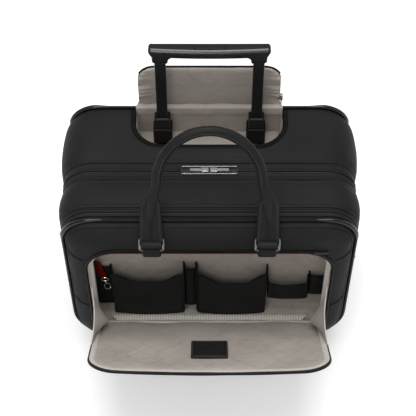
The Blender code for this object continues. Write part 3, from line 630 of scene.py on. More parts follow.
def pouch(name, x_range, z_range, depth, dip, belly, stands_for=(), rim=0.0011):
    (x0, x1), (z0, z1) = x_range, z_range
    y1 = TRAY_BACK - 0.0002
    y0 = y1 - depth
    corner = min(0.0040, depth * 0.4)
    plan = [(x0, y1, 0.0), (x0, (y0 + y1) / 2, 0.0), (x0, y0 + corner, 0.0)]
    for step in range(1, 4):
        turn = math.radians(90 * step / 4)
        plan.append((x0 + corner * (1 - math.cos(turn)), y0 + corner * (1 - math.sin(turn)), 0.0))
    columns = 26
    for step in range(columns + 1):
        share = step / columns
        plan.append((x0 + corner + (x1 - x0 - 2 * corner) * share, y0, share))
    for step in range(1, 4):
        turn = math.radians(90 * (4 - step) / 4)
        plan.append((x1 - corner * (1 - math.cos(turn)), y0 + corner * (1 - math.sin(turn)), 0.0))
    plan += [(x1, y0 + corner, 0.0), (x1, (y0 + y1) / 2, 0.0), (x1, y1, 0.0)]
    rows = []
    levels = 14
    for level in range(levels + 1):
        rise = level / levels
        row = []
        for px, py, share in plan:
            fall = min(1.0, max(0.0, min(share, 1 - share) / 0.30)) if share else 0.0
            fall = fall * fall * (3 - 2 * fall)
            top = z1 - dip * fall
            round_out = math.sin(math.pi * share) * belly * math.sin(math.pi * (0.12 + 0.74 * rise))
            row.append((px, py - round_out, z0 + (top - z0) * rise))
        rows.append(row)
    piece = strip(name, rows)
    ruffle(piece, 0.030, 0.0008, x0 * 90)
    rim_points = [tuple(vertex.co) for vertex in piece.data.vertices][-len(plan):]
    thicken(piece, 0.0012)
    dress(piece, "front_door", pouch_nylon, stands_for)
    dress(rolled(name + "_binding", rim_points, rim, fineness=2), "front_door", coated)


POUCH_LOW = 0.0955
pouch("pouch_phone_left", (-0.143, -0.037), (POUCH_LOW, 0.202), 0.0185, 0.0150, 0.0080,
      ("phone_pocket_left",))
pouch("pouch_phone_right", (-0.018, 0.084), (POUCH_LOW, 0.202), 0.0185, 0.0195, 0.0080,
      ("phone_pocket_right",))
pouch("pouch_pen", (-0.0365, -0.0195), (0.108, 0.206), 0.0122, 0.0, 0.0010, ("pen_pocket",))
pouch("pouch_earbuds", (0.0855, 0.1455), (0.135, 0.176), 0.0172, 0.003, 0.0040, ("earbud_pocket",))
pouch("pouch_cards", (-0.1680, -0.1445), (0.098, 0.198), 0.0024, 0.0, 0.0004)
pouch("elastic_band", (0.1465, 0.1700), (0.134, 0.184), 0.0095, 0.0, 0.0006)
for number, x in enumerate((-0.0375, -0.0187)):
    divider = bar("pouch_divider_%d" % number, (x - 0.0009, x + 0.0009), (-0.0262, TRAY_BACK),
                  (POUCH_LOW + 0.006, 0.210), 0.0007, 2)
    dress(divider, "front_door", pouch_nylon)


# Flap of the pocket: nylon outside, quilted satin inside, bound with pale zip tape inside a dark rim.
# It hangs from the mouth's lower edge and is held half open by two gussets.
FLAP_HINGE = (-0.04126, 0.094)
FLAP_TURN = math.radians(52.5)
FLAP_LENGTH = 0.184
FLAP_HALF = 0.170
FLAP_BOW = 0.0048


def flap_point(x, along, rise):
    """A point of the open flap: along it from the hinge, and rise above its outer face."""
    rise -= FLAP_BOW * max(0.0, along - 0.08) / 0.104 * max(0.0, 1 - (x / 0.160) ** 2)
    return (x, FLAP_HINGE[0] - math.sin(FLAP_TURN) * along + math.cos(FLAP_TURN) * rise,
            FLAP_HINGE[1] + math.cos(FLAP_TURN) * along + math.sin(FLAP_TURN) * rise)


def flap_loop(grow):
    return rounded_loop((-FLAP_HALF - grow, FLAP_HALF + grow),
                        (0.003 - min(grow, 0.0), FLAP_LENGTH + grow), 0.004, 0.042 + grow)


def flap_rings(steps):
    return [[flap_point(x, along, rise) for x, along in flap_loop(grow)] for grow, rise in steps]


def inner_steps(rise, first=0.014):
    """Rings from near a flap's edge to its middle, at one height."""
    return [(-first - 0.0095 * step, rise) for step in range(8)]


outer = loft("flap_outer", flap_rings(inner_steps(0.0)[::-1] + [
    (-0.006, 0.0), (-0.002, 0.0002), (0.0000, 0.0010), (0.0005, 0.0024), (0.0002, 0.0040),
    (-0.0010, 0.0050), (-0.0030, 0.0050), (-0.0050, 0.0040)] + inner_steps(0.0026)),
    cap="both", flip=True)
ruffle(outer, 0.06, 0.0005, 7.0)
dress(outer, "pocket_flap", nylon, ("pocket_flap",))

rim = loft("flap_rim_tape", flap_rings([
    (-0.0022, 0.0044), (-0.0024, 0.0054), (-0.0050, 0.0058), (-0.0086, 0.0058), (-0.0098, 0.0050),
    (-0.0102, 0.0042)]), flip=True)
dress(rim, "pocket_flap", pale_tape)

inner = loft("flap_inner", flap_rings([
    (-0.0096, 0.0040), (-0.0102, 0.0050), (-0.0118, 0.0056)] + inner_steps(0.0060, 0.017)),
    cap=True, flip=True)
ruffle(inner, 0.045, 0.0016, 8.0)
ruffle(inner, 0.014, 0.0004, 9.0)
dress(inner, "pocket_flap", lining, ("pocket_flap_lining",))


# Ribbed tape: a stiff woven strip over the flap's hinge, sewn to the door along the mouth's lower
# edge. Its ends are cut on a slant.
hinge_rows = []
for y, z in ((-0.0268, 0.0935), (-0.0285, 0.0955), (-0.0320, 0.0968), (-0.0360, 0.0972),
             (-0.0400, 0.0974), (-0.0428, 0.0978), (-0.0448, 0.0994)):
    reach = 0.150 + (y + 0.0268) * 0.9
    hinge_rows.append([(-reach + 2 * reach * step / 60, y, z) for step in range(61)])
hinge_tape = strip("hinge_tape", hinge_rows[::-1])
ribbed, link, place = start_finish("ribbed_tape", Sheen_Weight=0.2)
x, y, z = place.axes()
ribs = (x * (2 * math.pi / 0.0040)).math("SINE") * 0.5 + 0.5
link("Base Color", (ribs * 0.7 + place.cloud(90, 2) * 0.25).between((0.40, 0.37, 0.325),
                                                                   (0.72, 0.68, 0.61)))
link("Roughness", place.cloud(200, 2) * 0.2 + 0.5)
link("Normal", ribs.bump(0.0008, 0.8))
thicken(hinge_tape, 0.0012)
dress(hinge_tape, "front_door", ribbed)


# Gussets: a triangle of lining each side, sewn to the mouth and to the flap. It holds the flap half
# open and hangs in a soft fold.
MOUTH_SIDE = 0.094           # the gusset's edge on the mouth
FLAP_SIDE = 0.092            # and its edge on the flap
for hand, sign in (("left", -1), ("right", 1)):
    rows = []
    for step in range(15):
        share = step / 14
        turn = FLAP_TURN * share
        row = []
        for point in range(19):
            out = point / 18
            reach = (MOUTH_SIDE * (1 - share) + FLAP_SIDE * share) * out
            sag = math.sin(math.pi * share) * out
            fold = math.sin(math.pi * share) * math.sin(math.pi * out ** 0.7)
            x = sign * (0.1690 - 0.004 * sag - 0.017 * fold
                        - 0.0025 * math.sin(9 * share + 4 * out) * fold)
            row.append((x, FLAP_HINGE[0] - 0.0008 - math.sin(turn) * reach,
                        FLAP_HINGE[1] + 0.007 + math.cos(turn) * reach * (1 - 0.10 * sag)))
        rows.append(row)
    gusset = strip("side_gusset_" + hand, rows if sign > 0 else rows[::-1])
    edge_points = [row[-1] for row in rows]
    thicken(gusset, 0.0007)
    dress(gusset, "front_door", lining, ("gusset_" + hand,))
    hem = dress(rolled("gusset_hem_" + hand, edge_points, 0.0008, fineness=2), "front_door", pale_tape)
    for piece in (gusset, hem):
        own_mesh(piece)


# Label: a plain patch of black leather, pressed with a frame. It is stitched to the flap's lining
# round its edge.
leather, link, place = start_finish("black_leather", Specular_IOR_Level=0.12)
grain = place.cells(900)
crease = place.cloud(120, 4)
link("Base Color", place.cloud(30, 3).between((0.0070, 0.0068, 0.0067), (0.018, 0.0176, 0.0172)))
link("Roughness", crease * 0.25 + 0.36)
link("Normal", (grain * 0.6 + crease).bump(0.00022, 0.7))


def along_flap(name, outline_steps, material):
    """A flat patch on the flap's lining: each step is (inset, rise) of a rounded rectangle."""
    rings = []
    for inset, rise in outline_steps:
        loop = rounded_loop((-0.0260 + inset, 0.0260 - inset), (0.090 + inset, 0.1425 - inset),
                            0.0022, 0.0022)
        rings.append([flap_point(x, along, rise) for x, along in loop])
    return dress(loft(name, rings, cap=True, flip=True), "pocket_flap", material)


along_flap("label_patch", (
    (0.0, 0.0058), (0.0, 0.0082), (0.0006, 0.0088), (0.0032, 0.0088), (0.0036, 0.0083),
    (0.0042, 0.0083), (0.0046, 0.0088), (0.0110, 0.0088), (0.0114, 0.0085),
    (0.0150, 0.0085)), leather)


def stitches(name, path, body, length=0.0026, gap=0.0012, radius=0.00035, material=None):
    """Separate thread stitches laid along a path, in one piece."""
    vertices, faces = [], []
    distance = 0.0
    for first, second in zip(path, path[1:]):
        first, second = Vector(first), Vector(second)
        run = (second - first).length
        if run < 1e-7:
            continue
        forward = (second - first) / run
        side = forward.orthogonal().normalized()
        lift = forward.cross(side)
        while distance < run:
            base = len(vertices)
            for where, size in ((0.0, 0.3), (0.25, 1.0), (0.75, 1.0), (1.0, 0.3)):
                centre = first + forward * (distance + length * where)
                for corner in range(6):
                    turn = math.tau * corner / 6
                    spoke = side * math.cos(turn) + lift * math.sin(turn)
                    vertices.append(centre + spoke * radius * size)
            for ring in range(3):
                for corner in range(6):
                    after = (corner + 1) % 6
                    low, high = base + 6 * ring, base + 6 * (ring + 1)
                    faces.append((low + corner, low + after, high + after, high + corner))
            faces.append(tuple(range(base + 5, base - 1, -1)))
            faces.append(tuple(range(base + 18, base + 24)))
            distance += length + gap
        distance -= run
    mesh = bpy.data.meshes.new(name)
    mesh.from_pydata(vertices, [], faces)
    made = bpy.data.objects.new(name, mesh)
    bpy.context.scene.collection.objects.link(made)
    bm = bmesh.new()
    bm.from_mesh(mesh)
    bmesh.ops.recalc_face_normals(bm, faces=bm.faces)
    bm.to_mesh(mesh)
    bm.free()
    return dress(made, body, material or thread)


stitches("label_stitches", [flap_point(x, along, 0.0090) for x, along in
                            rounded_loop((-0.0243, 0.0243), (0.0917, 0.1408), 0.0012, 0.0012)],
         "pocket_flap")


# Piping: cord in a coated cover, sewn into the seam round the front door and into the one round the
# back. At the back it stops above the wheels.
def run_of(side, depth, keep=lambda x, z: True):
    return [(x, depth + FRONT_Y, z) for x, z in case_loop(side, side) if keep(x, z)]


front_cord = rolled("front_cord", run_of(0.0028, 0.0), 0.0025, cyclic=True, fineness=4)
dress(front_cord, "front_door", coated, ("front_piping",))
rear_points = run_of(0.0026, 0.2006)
start = next(i for i, point in enumerate(rear_points) if point[0] > 0.05 and point[2] > 0.062)
stop = next(i for i in range(len(rear_points) - 1, 0, -1)
            if rear_points[i][0] < -0.05 and rear_points[i][2] > 0.062)
rear_cord = rolled("rear_cord", rear_points[start:stop], 0.0025, fineness=4)
dress(rear_cord, "case", coated, ("rear_piping",))


# Corner guards: glossy moulded strips, thinner at their ends, fixed over the piping at the four
# upper corners.
gloss, link, place = start_finish("polished_guard", Specular_IOR_Level=0.35)
link("Base Color", place.cloud(40, 2).between((0.006, 0.006, 0.0065), (0.012, 0.012, 0.0125)))
link("Roughness", place.cloud(180, 3) * 0.16 + 0.16)
link("Normal", place.cloud(90, 2).bump(0.00010, 0.4))


def finish_node(names, material):
    """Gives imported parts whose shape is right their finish."""
    for name in names:
        part = nodes[name]
        part.data.materials.clear()
        part.data.materials.append(material)


GUARD_FROM_X = 0.131
GUARD_FROM_Z = 0.281
for place_name, depth, body in (("front", 0.0, "front_door"), ("rear", 0.2010, "case")):
    for hand, sign in (("left", -1), ("right", 1)):
        points = [p for p in run_of(0.0036, depth)
                  if p[0] * sign > GUARD_FROM_X and p[2] > GUARD_FROM_Z]
        points.sort(key=lambda p: p[2] - sign * p[0])
        guard = rolled("guard_%s_%s" % (place_name, hand), points, 0.0034, fineness=5,
                       radii=[0.35 + 0.65 * min(1.0, min(i, len(points) - 1 - i) / 3)
                              for i in range(len(points))])
        dress(guard, body, gloss, ("%s_guard_%s" % (place_name, hand),))


# Trolley well: a tray lined with satin, its lip bound with coated tape. The two tube sockets stand
# in its floor.
well_rings = []
for grow, z in ((0.0072, 0.3372), (0.0074, 0.3392), (0.0062, 0.3402), (0.0015, 0.3402),
                (0.0004, 0.3392), (0.0004, 0.3370)):
    well_rings.append([(x, y, z) for x, y in well_loop(grow)])
lip_rows = []
for ring in well_rings:
    open_run = [p for p in ring if p[1] < WELL_BACK - 0.002]
    open_run.sort(key=lambda p: math.atan2(p[0], WELL_BACK - p[1]))
    lip_rows.append(open_run)
shortest = min(len(row) for row in lip_rows)
lip_rows = [row[:shortest] for row in lip_rows]
lip = strip("well_lip", lip_rows)
dress(lip, "case", coated)
well_rings = [[(x, y, z) for x, y in well_loop(grow)]
              for grow, z in ((0.0002, 0.3385), (-0.0004, 0.3300), (-0.0006, 0.3200),
                              (-0.0008, 0.3100), (-0.0010, 0.3000), (-0.0018, 0.2920),
                              (-0.0045, 0.2889))]
for inset in (0.0090, 0.0150, 0.0210, 0.0270):
    shape = rounded_loop((-WELL_HALF + inset, WELL_HALF - inset),
                         (WELL_FRONT + inset, WELL_BACK - inset),
                         max(0.004, WELL_CORNER - inset), WELL_BACK_CORNER)
    well_rings.append([(x, y, 0.2880) for x, y in shape])
tray = loft("well_lining", well_rings, cap=True)
ruffle(tray, 0.017, 0.0022, 11.0)
dress(tray, "case", plain_lining, ("trolley_well",))

slot = bar("well_slot", (-0.012, 0.012), (0.1180, 0.1200), (0.2884, 0.2894), 0.0004, 2)
dress(slot, "case", coated)


# Cover of the well: nylon outside, satin inside over thin foam, bound all round. The satin puckers
# along its sides, where it is eased into the binding.
COVER_HINGE = (0.17874, 0.3425)
COVER_LEAN = math.radians(3)
COVER_HALF = 0.1015
COVER_HEIGHT = 0.0740


def cover_point(x, up, out):
    """A point on the raised cover: up it from the hinge, and out from its front."""
    return (x, COVER_HINGE[0] + math.sin(COVER_LEAN) * up - math.cos(COVER_LEAN) * out,
            COVER_HINGE[1] + math.cos(COVER_LEAN) * up + math.sin(COVER_LEAN) * out)


def cover_loop(grow):
    return rounded_loop((-COVER_HALF - grow, COVER_HALF + grow),
                        (-0.0010 - grow, COVER_HEIGHT + grow), 0.004, 0.024 + grow)


def cover_rings(steps):
    return [[cover_point(x, up, out) for x, up in cover_loop(grow)] for grow, out in steps]


inward = [(-0.006 - 0.0055 * step, 0.0) for step in range(5)]
shell = loft("cover_shell", cover_rings(
    [(grow, -0.0024) for grow, _ in inward[::-1]] + [(-0.001, -0.0022), (0.0, -0.0012), (0.0, 0.0006),
     (-0.0010, 0.0010)] + inward), cap="both")
ruffle(shell, 0.05, 0.0006, 12.0)
dress(shell, "cover_flap", nylon, ("cover_flap",))

satin = loft("cover_satin", cover_rings(
    [(-0.0006, 0.0006), (-0.0010, 0.0020), (-0.0026, 0.0030), (-0.0060, 0.0036), (-0.0095, 0.0038),
     (-0.0130, 0.0040), (-0.0170, 0.0042), (-0.0210, 0.0044), (-0.0250, 0.0044), (-0.0290, 0.0044)]),
    cap=True)
for vertex in satin.data.vertices:
    x, _, z = vertex.co
    near_side = max(0.0, 1 - (COVER_HALF - abs(x)) / 0.024)
    pucker = math.sin(z * 560 + 2.6 * math.sin(z * 170) + 90 * abs(x)) * 0.0019 * near_side
    vertex.co.y -= pucker + 0.0010 * noise.noise(vertex.co / 0.024 + Vector((3, 1, 4)))
dress(satin, "cover_flap", plain_lining, ("cover_flap_lining",))

binding = rolled("cover_binding", [cover_point(x, up, 0.0) for x, up in cover_loop(0.0006)
                                   if up > 0.060], 0.0013, fineness=3)
dress(binding, "cover_flap", coated)
hem_path = [cover_point(x, 0.0665 + 0.0012 * math.cos(x * 18), 0.0046)
            for x in [-0.075 + 0.150 * i / 40 for i in range(41)]]
pale_thread, link, place = start_finish("pale_thread", Sheen_Weight=0.2)
link("Base Color", place.cloud(900, 1).between((0.16, 0.14, 0.12), (0.33, 0.30, 0.27)))
link("Roughness", place.cloud(400, 1) * 0.2 + 0.4)
stitches("cover_hem_stitches", hem_path, "cover_flap", material=pale_thread)
fold_rows = []
for y, z, half in ((0.1688, 0.3300, 0.1050), (0.1690, 0.3370, 0.1056), (0.1700, 0.3415, 0.1062),
                   (0.1722, 0.3432, 0.1058), (0.1745, 0.3436, 0.1050), (0.1762, 0.3452, 0.1035),
                   (0.1768, 0.3490, 0.1018), (0.1766, 0.3530, 0.1006)):
    fold_rows.append([(-half + 2 * half * i / 50, y, z) for i in range(51)])
hinge_fold = strip("cover_hinge_lining", fold_rows)
ruffle(hinge_fold, 0.016, 0.0008, 13.0)
thicken(hinge_fold, 0.0009)
dress(hinge_fold, None, plain_lining)
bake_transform(hinge_fold)


# Carry handle: a leather roll with a turned seam along its inside, sewn into two flat tabs. Each tab
# hangs from a metal ring held by a leather loop on the door.
HANDLE_HINGE = (-0.04996, 0.302)
HANDLE_LEAN = math.radians(20)
TAB_X = 0.079
ARCH_FOOT = 0.110
ARCH_HALF = 0.0705
ARCH_RISE = 0.080


def handle_point(x, up, out=0.0):
    """A point on the standing handle: up it from the hinge, and out from its front."""
    return (x, HANDLE_HINGE[0] + math.sin(HANDLE_LEAN) * up - math.cos(HANDLE_LEAN) * out,
            HANDLE_HINGE[1] + math.cos(HANDLE_LEAN) * up + math.sin(HANDLE_LEAN) * out)


def handle_line(inset):
    """The roll's path in its own plane, set in from its centre line."""
    left = [(-0.0795 + inset, 0.052), (-0.0790 + inset, 0.066), (-0.0775 + inset, 0.080),
            (-0.0745 + inset, 0.095)]
    arch = [(-(ARCH_HALF - inset) * math.cos(math.pi * i / 36),
             ARCH_FOOT + (ARCH_RISE - inset) * math.sin(math.pi * i / 36)) for i in range(37)]
    return left + arch + [(-x, up) for x, up in left[::-1]]


centre_line = handle_line(0.0)
thickness = []
for x, up in centre_line:
    fuller_below = 0.34 * max(0.0, min(1.0, (0.150 - up) / 0.06))
    pinched_in_tab = 0.45 * max(0.0, (0.066 - up) / 0.014)
    thickness.append(1.0 + fuller_below - pinched_in_tab)
roll = rolled("handle_roll", [handle_point(x, up) for x, up in centre_line], 0.0058, radii=thickness,
              fineness=6)
ruffle(roll, 0.012, 0.0004, 14.0)
dress(roll, "carry_handle", leather, ("carry_handle",))
fin = rolled("handle_seam", [handle_point(x, up) for x, up in handle_line(0.0068)[2:-2]], 0.0020,
             fineness=3)
dress(fin, "carry_handle", leather)
stitches("handle_stitches", [handle_point(x, up, 0.0062) for x, up in handle_line(0.0026)[4:-4]],
         "carry_handle")

for hand, sign in (("left", -1), ("right", 1)):
    centre = sign * TAB_X
    outline = [(-0.0156, 0.0160), (0.0156, 0.0160), (0.0152, 0.036), (0.0144, 0.058), (0.0138, 0.0800),
               (0.0, 0.0970), (-0.0138, 0.0800), (-0.0144, 0.058), (-0.0152, 0.036)]
    rings = []
    for shrink, out in ((0.0030, 0.0034), (0.0010, 0.0040), (0.0, 0.0030), (0.0, -0.0030),
                        (0.0010, -0.0040), (0.0030, -0.0034)):
        rings.append([handle_point(centre + x * (1 - shrink / 0.015),
                                   0.050 + (up - 0.050) * (1 - shrink / 0.036), out)
                      for x, up in outline])
    tab = loft("handle_tab_" + hand, rings, cap="both", flip=True)
    bend = tab.modifiers.new("soft", "BEVEL")
    bend.width = 0.0006
    bend.segments = 2
    apply_all(tab)
    dress(tab, "carry_handle", leather)
    edge = [handle_point(centre + x * 0.80, 0.050 + (up - 0.050) * 0.92, 0.0042)
            for x, up in outline[1:] + outline[:1]]
    stitches("tab_stitches_" + hand, edge, "carry_handle")
    middle = [handle_point(centre, up, 0.0042) for up in (0.020, 0.050, 0.084)]
    dress(rolled("tab_ridge_" + hand, middle, 0.0011, fineness=2), "carry_handle", leather)
    fold = bar("tab_fold_" + hand, (centre - 0.0150, centre + 0.0150), (-0.0550, -0.0450),
               (0.3108, 0.3200), 0.0034, 4)
    dress(fold, "carry_handle", leather)
    base = bar("handle_loop_" + hand, (centre - 0.0132, centre + 0.0132), (-0.0535, -0.0405),
               (0.2870, 0.3050), 0.0042, 5)
    dress(base, "front_door", leather, ("handle_base_" + hand,))
    stitches("loop_stitches_" + hand, [(centre - 0.0105, -0.0530, 0.2908),
                                       (centre + 0.0105, -0.0530, 0.2908)], "front_door")


# Metal: the handle's rings and the zip pulls, all but the pocket's, are plated, with fine wear. The slider
# frame on top is darker.
def plated(name, dark, light, rough):
    made, link, place = start_finish(name)
    link("Base Color", place.cloud(160, 4).between(dark, light))
    link("Metallic", place.cloud(60, 2) * 0.05 + 0.95)
    link("Roughness", place.cloud(420, 3) * 0.16 + rough)
    link("Normal", place.cloud(700, 2).bump(0.00005, 0.5))
    return made


nickel = plated("nickel_plate", (0.52, 0.51, 0.49), (0.82, 0.81, 0.79), 0.14)
gunmetal = plated("gunmetal_plate", (0.10, 0.10, 0.104), (0.24, 0.24, 0.245), 0.20)
finish_node([name for name in nodes if "_pull" in name and name != "pocket_pull"], nickel)
finish_node(["handle_ring_left", "handle_ring_right", "axle_left", "axle_right"], gunmetal)
dark_plate = plated("dark_plate", (0.035, 0.035, 0.036), (0.075, 0.075, 0.077), 0.26)
finish_node(["zip_garage"], dark_plate)
frame_low, frame_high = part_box("zip_garage")
frame_loop = rounded_loop((frame_low[0] + 0.0012, frame_high[0] - 0.0012),
                          (frame_low[1] + 0.0012, frame_high[1] - 0.0012), 0.0015, 0.0015)
dress(rolled("slider_frame", [(x, y, frame_high[2]) for x, y in frame_loop], 0.0007, cyclic=True,
             fineness=2), "case", gunmetal)


# Trolley: black aluminium tubes in moulded sockets, and a moulded grip with a release button.
plastic, link, place = start_finish("moulded_black", Specular_IOR_Level=0.20)
grain = place.cells(1500)
link("Base Color", place.cloud(20, 3).between((0.007, 0.007, 0.0072), (0.014, 0.014, 0.0145)))
link("Roughness", place.cloud(60, 3) * 0.18 + 0.30)
link("Normal", grain.bump(0.00008, 0.6))

# The sockets take a darker copy of the moulded plastic: painted shade, for the shade deep down in the
# well.
socket_plastic_painted_shade, link, place = start_finish("socket_plastic_painted_shade", Specular_IOR_Level=0.12)
link("Base Color", place.cloud(40, 3).between((0.0016, 0.0016, 0.0017), (0.0042, 0.0042, 0.0044)))
link("Roughness", place.cloud(80, 3) * 0.2 + 0.32)
link("Normal", place.cells(1500).bump(0.00008, 0.6))

tube, link, place = start_finish("anodised_tube", Metallic=0.4, Specular_IOR_Level=0.2)
x, y, z = place.axes()
draw = (x * 2600 + y * 2100).math("SINE") * 0.5 + 0.5
link("Base Color", (draw * 0.3 + place.cloud(30, 3) * 0.6).between((0.008, 0.008, 0.009),
                                                                  (0.022, 0.022, 0.024)))
link("Roughness", place.cloud(90, 3) * 0.14 + 0.30)
link("Normal", draw.bump(0.00003, 0.5))

finish_node([name for name in nodes if "tube" in name], tube)
finish_node(["trolley_socket_left", "trolley_socket_right"], socket_plastic_painted_shade)
finish_node(["release_button", "base_plate", "pocket_pull",
             "wheel_housing_left", "wheel_housing_right"], plastic)
grip_low, grip_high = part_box("trolley_grip")
GRIP_HALF = grip_high[0]
GRIP_TOP = grip_high[2]
grip_back = grip_high[1] - 0.0008
LEG_OUT, LEG_IN, LEG_FOOT, BAR_FOOT = 0.0772, 0.0570, 0.4580, 0.4695
inner_corner = 0.0075


def grip_outline(inset):
    """The grip from the front: a bar whose ends run down into two legs, rounded between them."""
    right = [(GRIP_HALF - 0.004 - inset, GRIP_TOP - inset),
             (GRIP_HALF - 0.0012 - inset, GRIP_TOP - 0.0018),
             (GRIP_HALF - inset, GRIP_TOP - 0.0060), (GRIP_HALF - 0.0018 - inset, GRIP_TOP - 0.0110),
             (LEG_OUT + 0.0014 - inset, BAR_FOOT), (LEG_OUT + 0.0010 - inset, LEG_FOOT + 0.0022),
             (LEG_OUT - 0.0010 - inset, LEG_FOOT + inset), (LEG_IN + 0.0010 + inset, LEG_FOOT + inset),
             (LEG_IN - 0.0004 + inset, LEG_FOOT + 0.0024)]
    for step in range(6):
        turn = math.radians(90 * step / 5)
        right.append((LEG_IN - 0.0004 - inner_corner * (1 - math.cos(turn)) + inset,
                      BAR_FOOT + inset - inner_corner * (1 - math.sin(turn))))
    middle = [(right[-1][0] * (1 - 2 * step / 12), BAR_FOOT + inset) for step in range(1, 12)]
    left = [(-x, z) for x, z in right[::-1]]
    top = [(-(GRIP_HALF - 0.004 - inset) * (1 - 2 * step / 16), GRIP_TOP - inset)
           for step in range(1, 16)]
    return right + middle + left + top


def grip_front(x):
    """How far forward the grip's front stands: it bows towards the hand."""
    return grip_low[1] + 0.0034 * (x / GRIP_HALF) ** 2


grip_rings = []
for inset, share in ((0.0032, 0.0), (0.0016, 0.02), (0.0, 0.13), (0.0, 0.5), (0.0, 0.87),
                     (0.0016, 0.98), (0.0032, 1.0)):
    grip_rings.append([(x, grip_front(x) + (grip_back - grip_front(x)) * share, z)
                       for x, z in grip_outline(inset)])
grip = loft("grip_shell", grip_rings, cap="both")
soften = grip.modifiers.new("edges", "BEVEL")
soften.width = 0.0008
soften.segments = 2
soften.limit_method = "ANGLE"
apply_all(grip)
button_low, button_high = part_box("release_button")
carve(grip, [bar("button_room", (button_low[0] - 0.0004, button_high[0] + 0.0004),
                 (button_low[1] - 0.0004, button_high[1] + 0.0004), (button_low[2] - 0.0035, 0.49))])
dress(grip, "trolley_upper", plastic, ("trolley_grip",))
# A thin strip of lighter, shinier plastic laid along the grip's front top edge: a painted highlight.
edge_rows = []
for lift, out in ((-0.0052, 0.0001), (-0.0036, 0.0006), (-0.0020, 0.0004), (-0.0006, -0.0010),
                  (0.0001, -0.0030)):
    edge_rows.append([(x, grip_front(x) - out, GRIP_TOP + lift) for x in
                      [0.0790 * (1 - 2 * i / 40) for i in range(41)]])
grip_edge = strip("grip_edge", edge_rows)
highlight_edge_plastic, link, place = start_finish("highlight_edge_plastic", Specular_IOR_Level=0.6)
link("Base Color", place.cloud(40, 2).between((0.010, 0.010, 0.010), (0.020, 0.020, 0.020)))
link("Roughness", place.cloud(90, 2) * 0.12 + 0.22)
link("Normal", place.cloud(300, 2).bump(0.00004, 0.4))
thicken(grip_edge, 0.0008)
dress(grip_edge, "trolley_upper", highlight_edge_plastic)


# Wheels and feet: rubber tyres on grey moulded hubs, which turn on metal axles in their housings,
# and two rubber feet under the front edge.
wheel_low, wheel_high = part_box("wheel_left")
AXLE = ((wheel_low[1] + wheel_high[1]) / 2, (wheel_low[2] + wheel_high[2]) / 2)
HUB_RADIUS = 0.0255
rubber, link, place = start_finish("tyre_and_hub")
x, y, z = place.axes()
off_axle = ((y - AXLE[0]) * (y - AXLE[0]) + (z - AXLE[1]) * (z - AXLE[1])).math("SQRT")
tyre = ((off_axle - HUB_RADIUS) * 3000).math("MAXIMUM", 0.0).math("MINIMUM", 1.0)
hub = place.cloud(200, 2).between((0.055, 0.055, 0.057), (0.085, 0.085, 0.088))
tread = place.cloud(120, 3).between((0.010, 0.010, 0.010), (0.022, 0.022, 0.022))
link("Base Color", tyre.add("ShaderNodeMix", {"data_type": "RGBA"}, {0: tyre, 6: hub, 7: tread}, 2))
link("Roughness", tyre * 0.35 + place.cloud(90, 2) * 0.15 + 0.35)
link("Normal", place.cells(500).bump(0.0001, 0.6))
finish_node(["wheel_left", "wheel_right"], rubber)

foot_rubber, link, place = start_finish("foot_rubber")
link("Base Color", place.cloud(120, 3).between((0.010, 0.010, 0.010), (0.024, 0.024, 0.024)))
link("Roughness", place.cloud(90, 3) * 0.2 + 0.6)
link("Normal", place.cells(900).bump(0.0002, 0.6))
finish_node(["front_foot_left", "front_foot_right"], foot_rubber)


# Back: a padded nylon panel that closes the rear section, cut away over the wheels. Four sewn lines
# mark the two channels that the trolley's tubes run in.
def closed_in(ring, share, middle_z):
    """A ring drawn in towards its middle by a share of its size."""
    return [(x * (1 - share), y, middle_z + (z - middle_z) * (1 - share)) for x, y, z in ring]


BACK_MIDDLE = 0.182
back_rings = []
for grow, depth in ((-0.0010, 0.1978), (-0.0008, 0.2020), (-0.0030, 0.2042), (-0.0080, 0.2050),
                    (-0.0200, 0.2052), (-0.0400, 0.2052)):
    back_rings.append([(x, depth + FRONT_Y, z) for x, z in case_loop(grow, grow)])
innermost = back_rings[-1]
for share in (0.2, 0.4, 0.6, 0.8, 0.93, 0.985):
    back_rings.append(closed_in(innermost, share, BACK_MIDDLE))
back = loft("back_pad", back_rings, cap="both", flip=True)
ruffle(back, 0.06, 0.0012, 15.0)
carve(back, wheel_rooms())
dress(back, "case", nylon, ("back_panel",))
for number, x in enumerate((-0.092, -0.048, 0.048, 0.092)):
    path = [(x, 0.2060 + FRONT_Y, z) for z in [0.045 + 0.275 * i / 30 for i in range(31)]]
    dress(rolled("back_channel_%d" % number, path, 0.0013, fineness=2), "case", coated)


# Inside: a lining panel hides the tubes, a padded divider closes the middle section, and a laptop
# sleeve is sewn to it.
PANEL_LOW_CORNER = 0.064
PANEL_HIGH_CORNER = 0.034


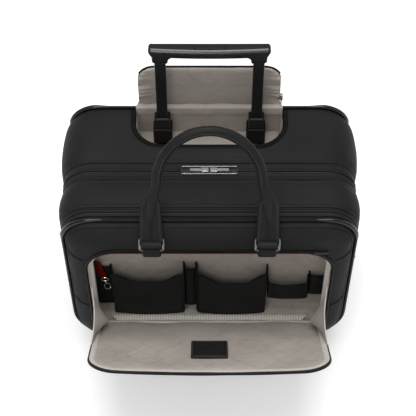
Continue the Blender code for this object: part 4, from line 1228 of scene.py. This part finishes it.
def inside_panel(node, body, edge_roll=0.0016):
    low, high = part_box(node)
    middle = (low[1] + high[1]) / 2
    half = (high[1] - low[1]) / 2
    rings = []
    for inset, depth in ((0.004, half), (0.0012, half * 0.8), (0.0, 0.0), (0.0012, -half * 0.8),
                         (0.004, -half)):
        loop = rounded_loop((low[0] + inset, high[0] - inset), (low[2] + inset, high[2] - inset),
                            PANEL_LOW_CORNER, PANEL_HIGH_CORNER)
        rings.append([(x, middle - depth, z) for x, z in loop])
    front = [rings[0]]
    back = [rings[-1]]
    centre_z = (low[2] + high[2]) / 2
    for share in (0.15, 0.3, 0.5, 0.7, 0.9):
        front.insert(0, closed_in(rings[0], share, centre_z))
        back.append(closed_in(rings[-1], share, centre_z))
    panel = loft(node + "_pad", front[:-1] + rings + back[1:], cap="both", flip=True)
    ruffle(panel, 0.05, 0.0008, 16.0)
    dress(panel, body, lining, (node,))
    loop = rounded_loop((low[0], high[0]), (low[2], high[2]), PANEL_LOW_CORNER, PANEL_HIGH_CORNER)
    dress(rolled(node + "_binding", [(x, middle, z) for x, z in loop], edge_roll, cyclic=True, fineness=2),
          body, coated)


inside_panel("trunk_lining", "case")
inside_panel("middle_divider", "middle_section")
inside_panel("laptop_sleeve", "middle_section")


# Key leash: red webbing sewn high in the pocket's left side. It ends in a ring and a plated swivel
# hook.
webbing, link, place = start_finish("red_webbing", Specular_IOR_Level=0.1)
x, y, z = place.axes()
weave = (z * (math.tau / 0.0012)).math("SINE") * (x * (math.tau / 0.0010)).math("SINE") * 0.5 + 0.5
link("Base Color", (weave * 0.5 + place.cloud(80, 2) * 0.5).between((0.050, 0.0006, 0.0012),
                                                                   (0.200, 0.003, 0.005)))
link("Roughness", place.cloud(200, 2) * 0.2 + 0.5)
link("Normal", weave.bump(0.00025, 0.7))

LEASH_TOP = (-0.1655, -0.0112, 0.2150)
rows = []
for step in range(15):
    share = step / 14
    half = 0.0072 - 0.0020 * share
    centre = Vector((LEASH_TOP[0] + 0.0120 * share, LEASH_TOP[1] - 0.0015 * math.sin(math.pi * share),
                     LEASH_TOP[2] - 0.046 * share))
    rows.append([tuple(centre + Vector((half * (2 * i / 6 - 1), 0.0008 * math.cos(math.pi * i / 6), 0)))
                 for i in range(7)])
strap = strip("leash_strap", rows[::-1])
thicken(strap, 0.0012)
dress(strap, "key_leash", webbing, ("key_leash",))
HOOK = (-0.1535, -0.0114, 0.1688)
parts = (
    ("leash_ring", [(0.0052 * math.cos(math.tau * i / 20), 0.0042 * math.sin(math.tau * i / 20))
                    for i in range(20)], 0.0009, True),
    ("leash_swivel", [(0.0, -0.0040), (0.0008, -0.0100)], 0.0018, False),
    ("leash_hook", [(0.0010, -0.0095), (0.0060, -0.0120), (0.0078, -0.0170), (0.0066, -0.0230),
                    (0.0030, -0.0262), (-0.0008, -0.0245), (-0.0020, -0.0190), (-0.0018, -0.0125)],
     0.0011, False),
)
for name, outline, radius, closed in parts:
    path = [(HOOK[0] + x, HOOK[1] - 0.0005, HOOK[2] + z) for x, z in outline]
    dress(rolled(name, path, radius, cyclic=closed, fineness=3), "key_leash", nickel)
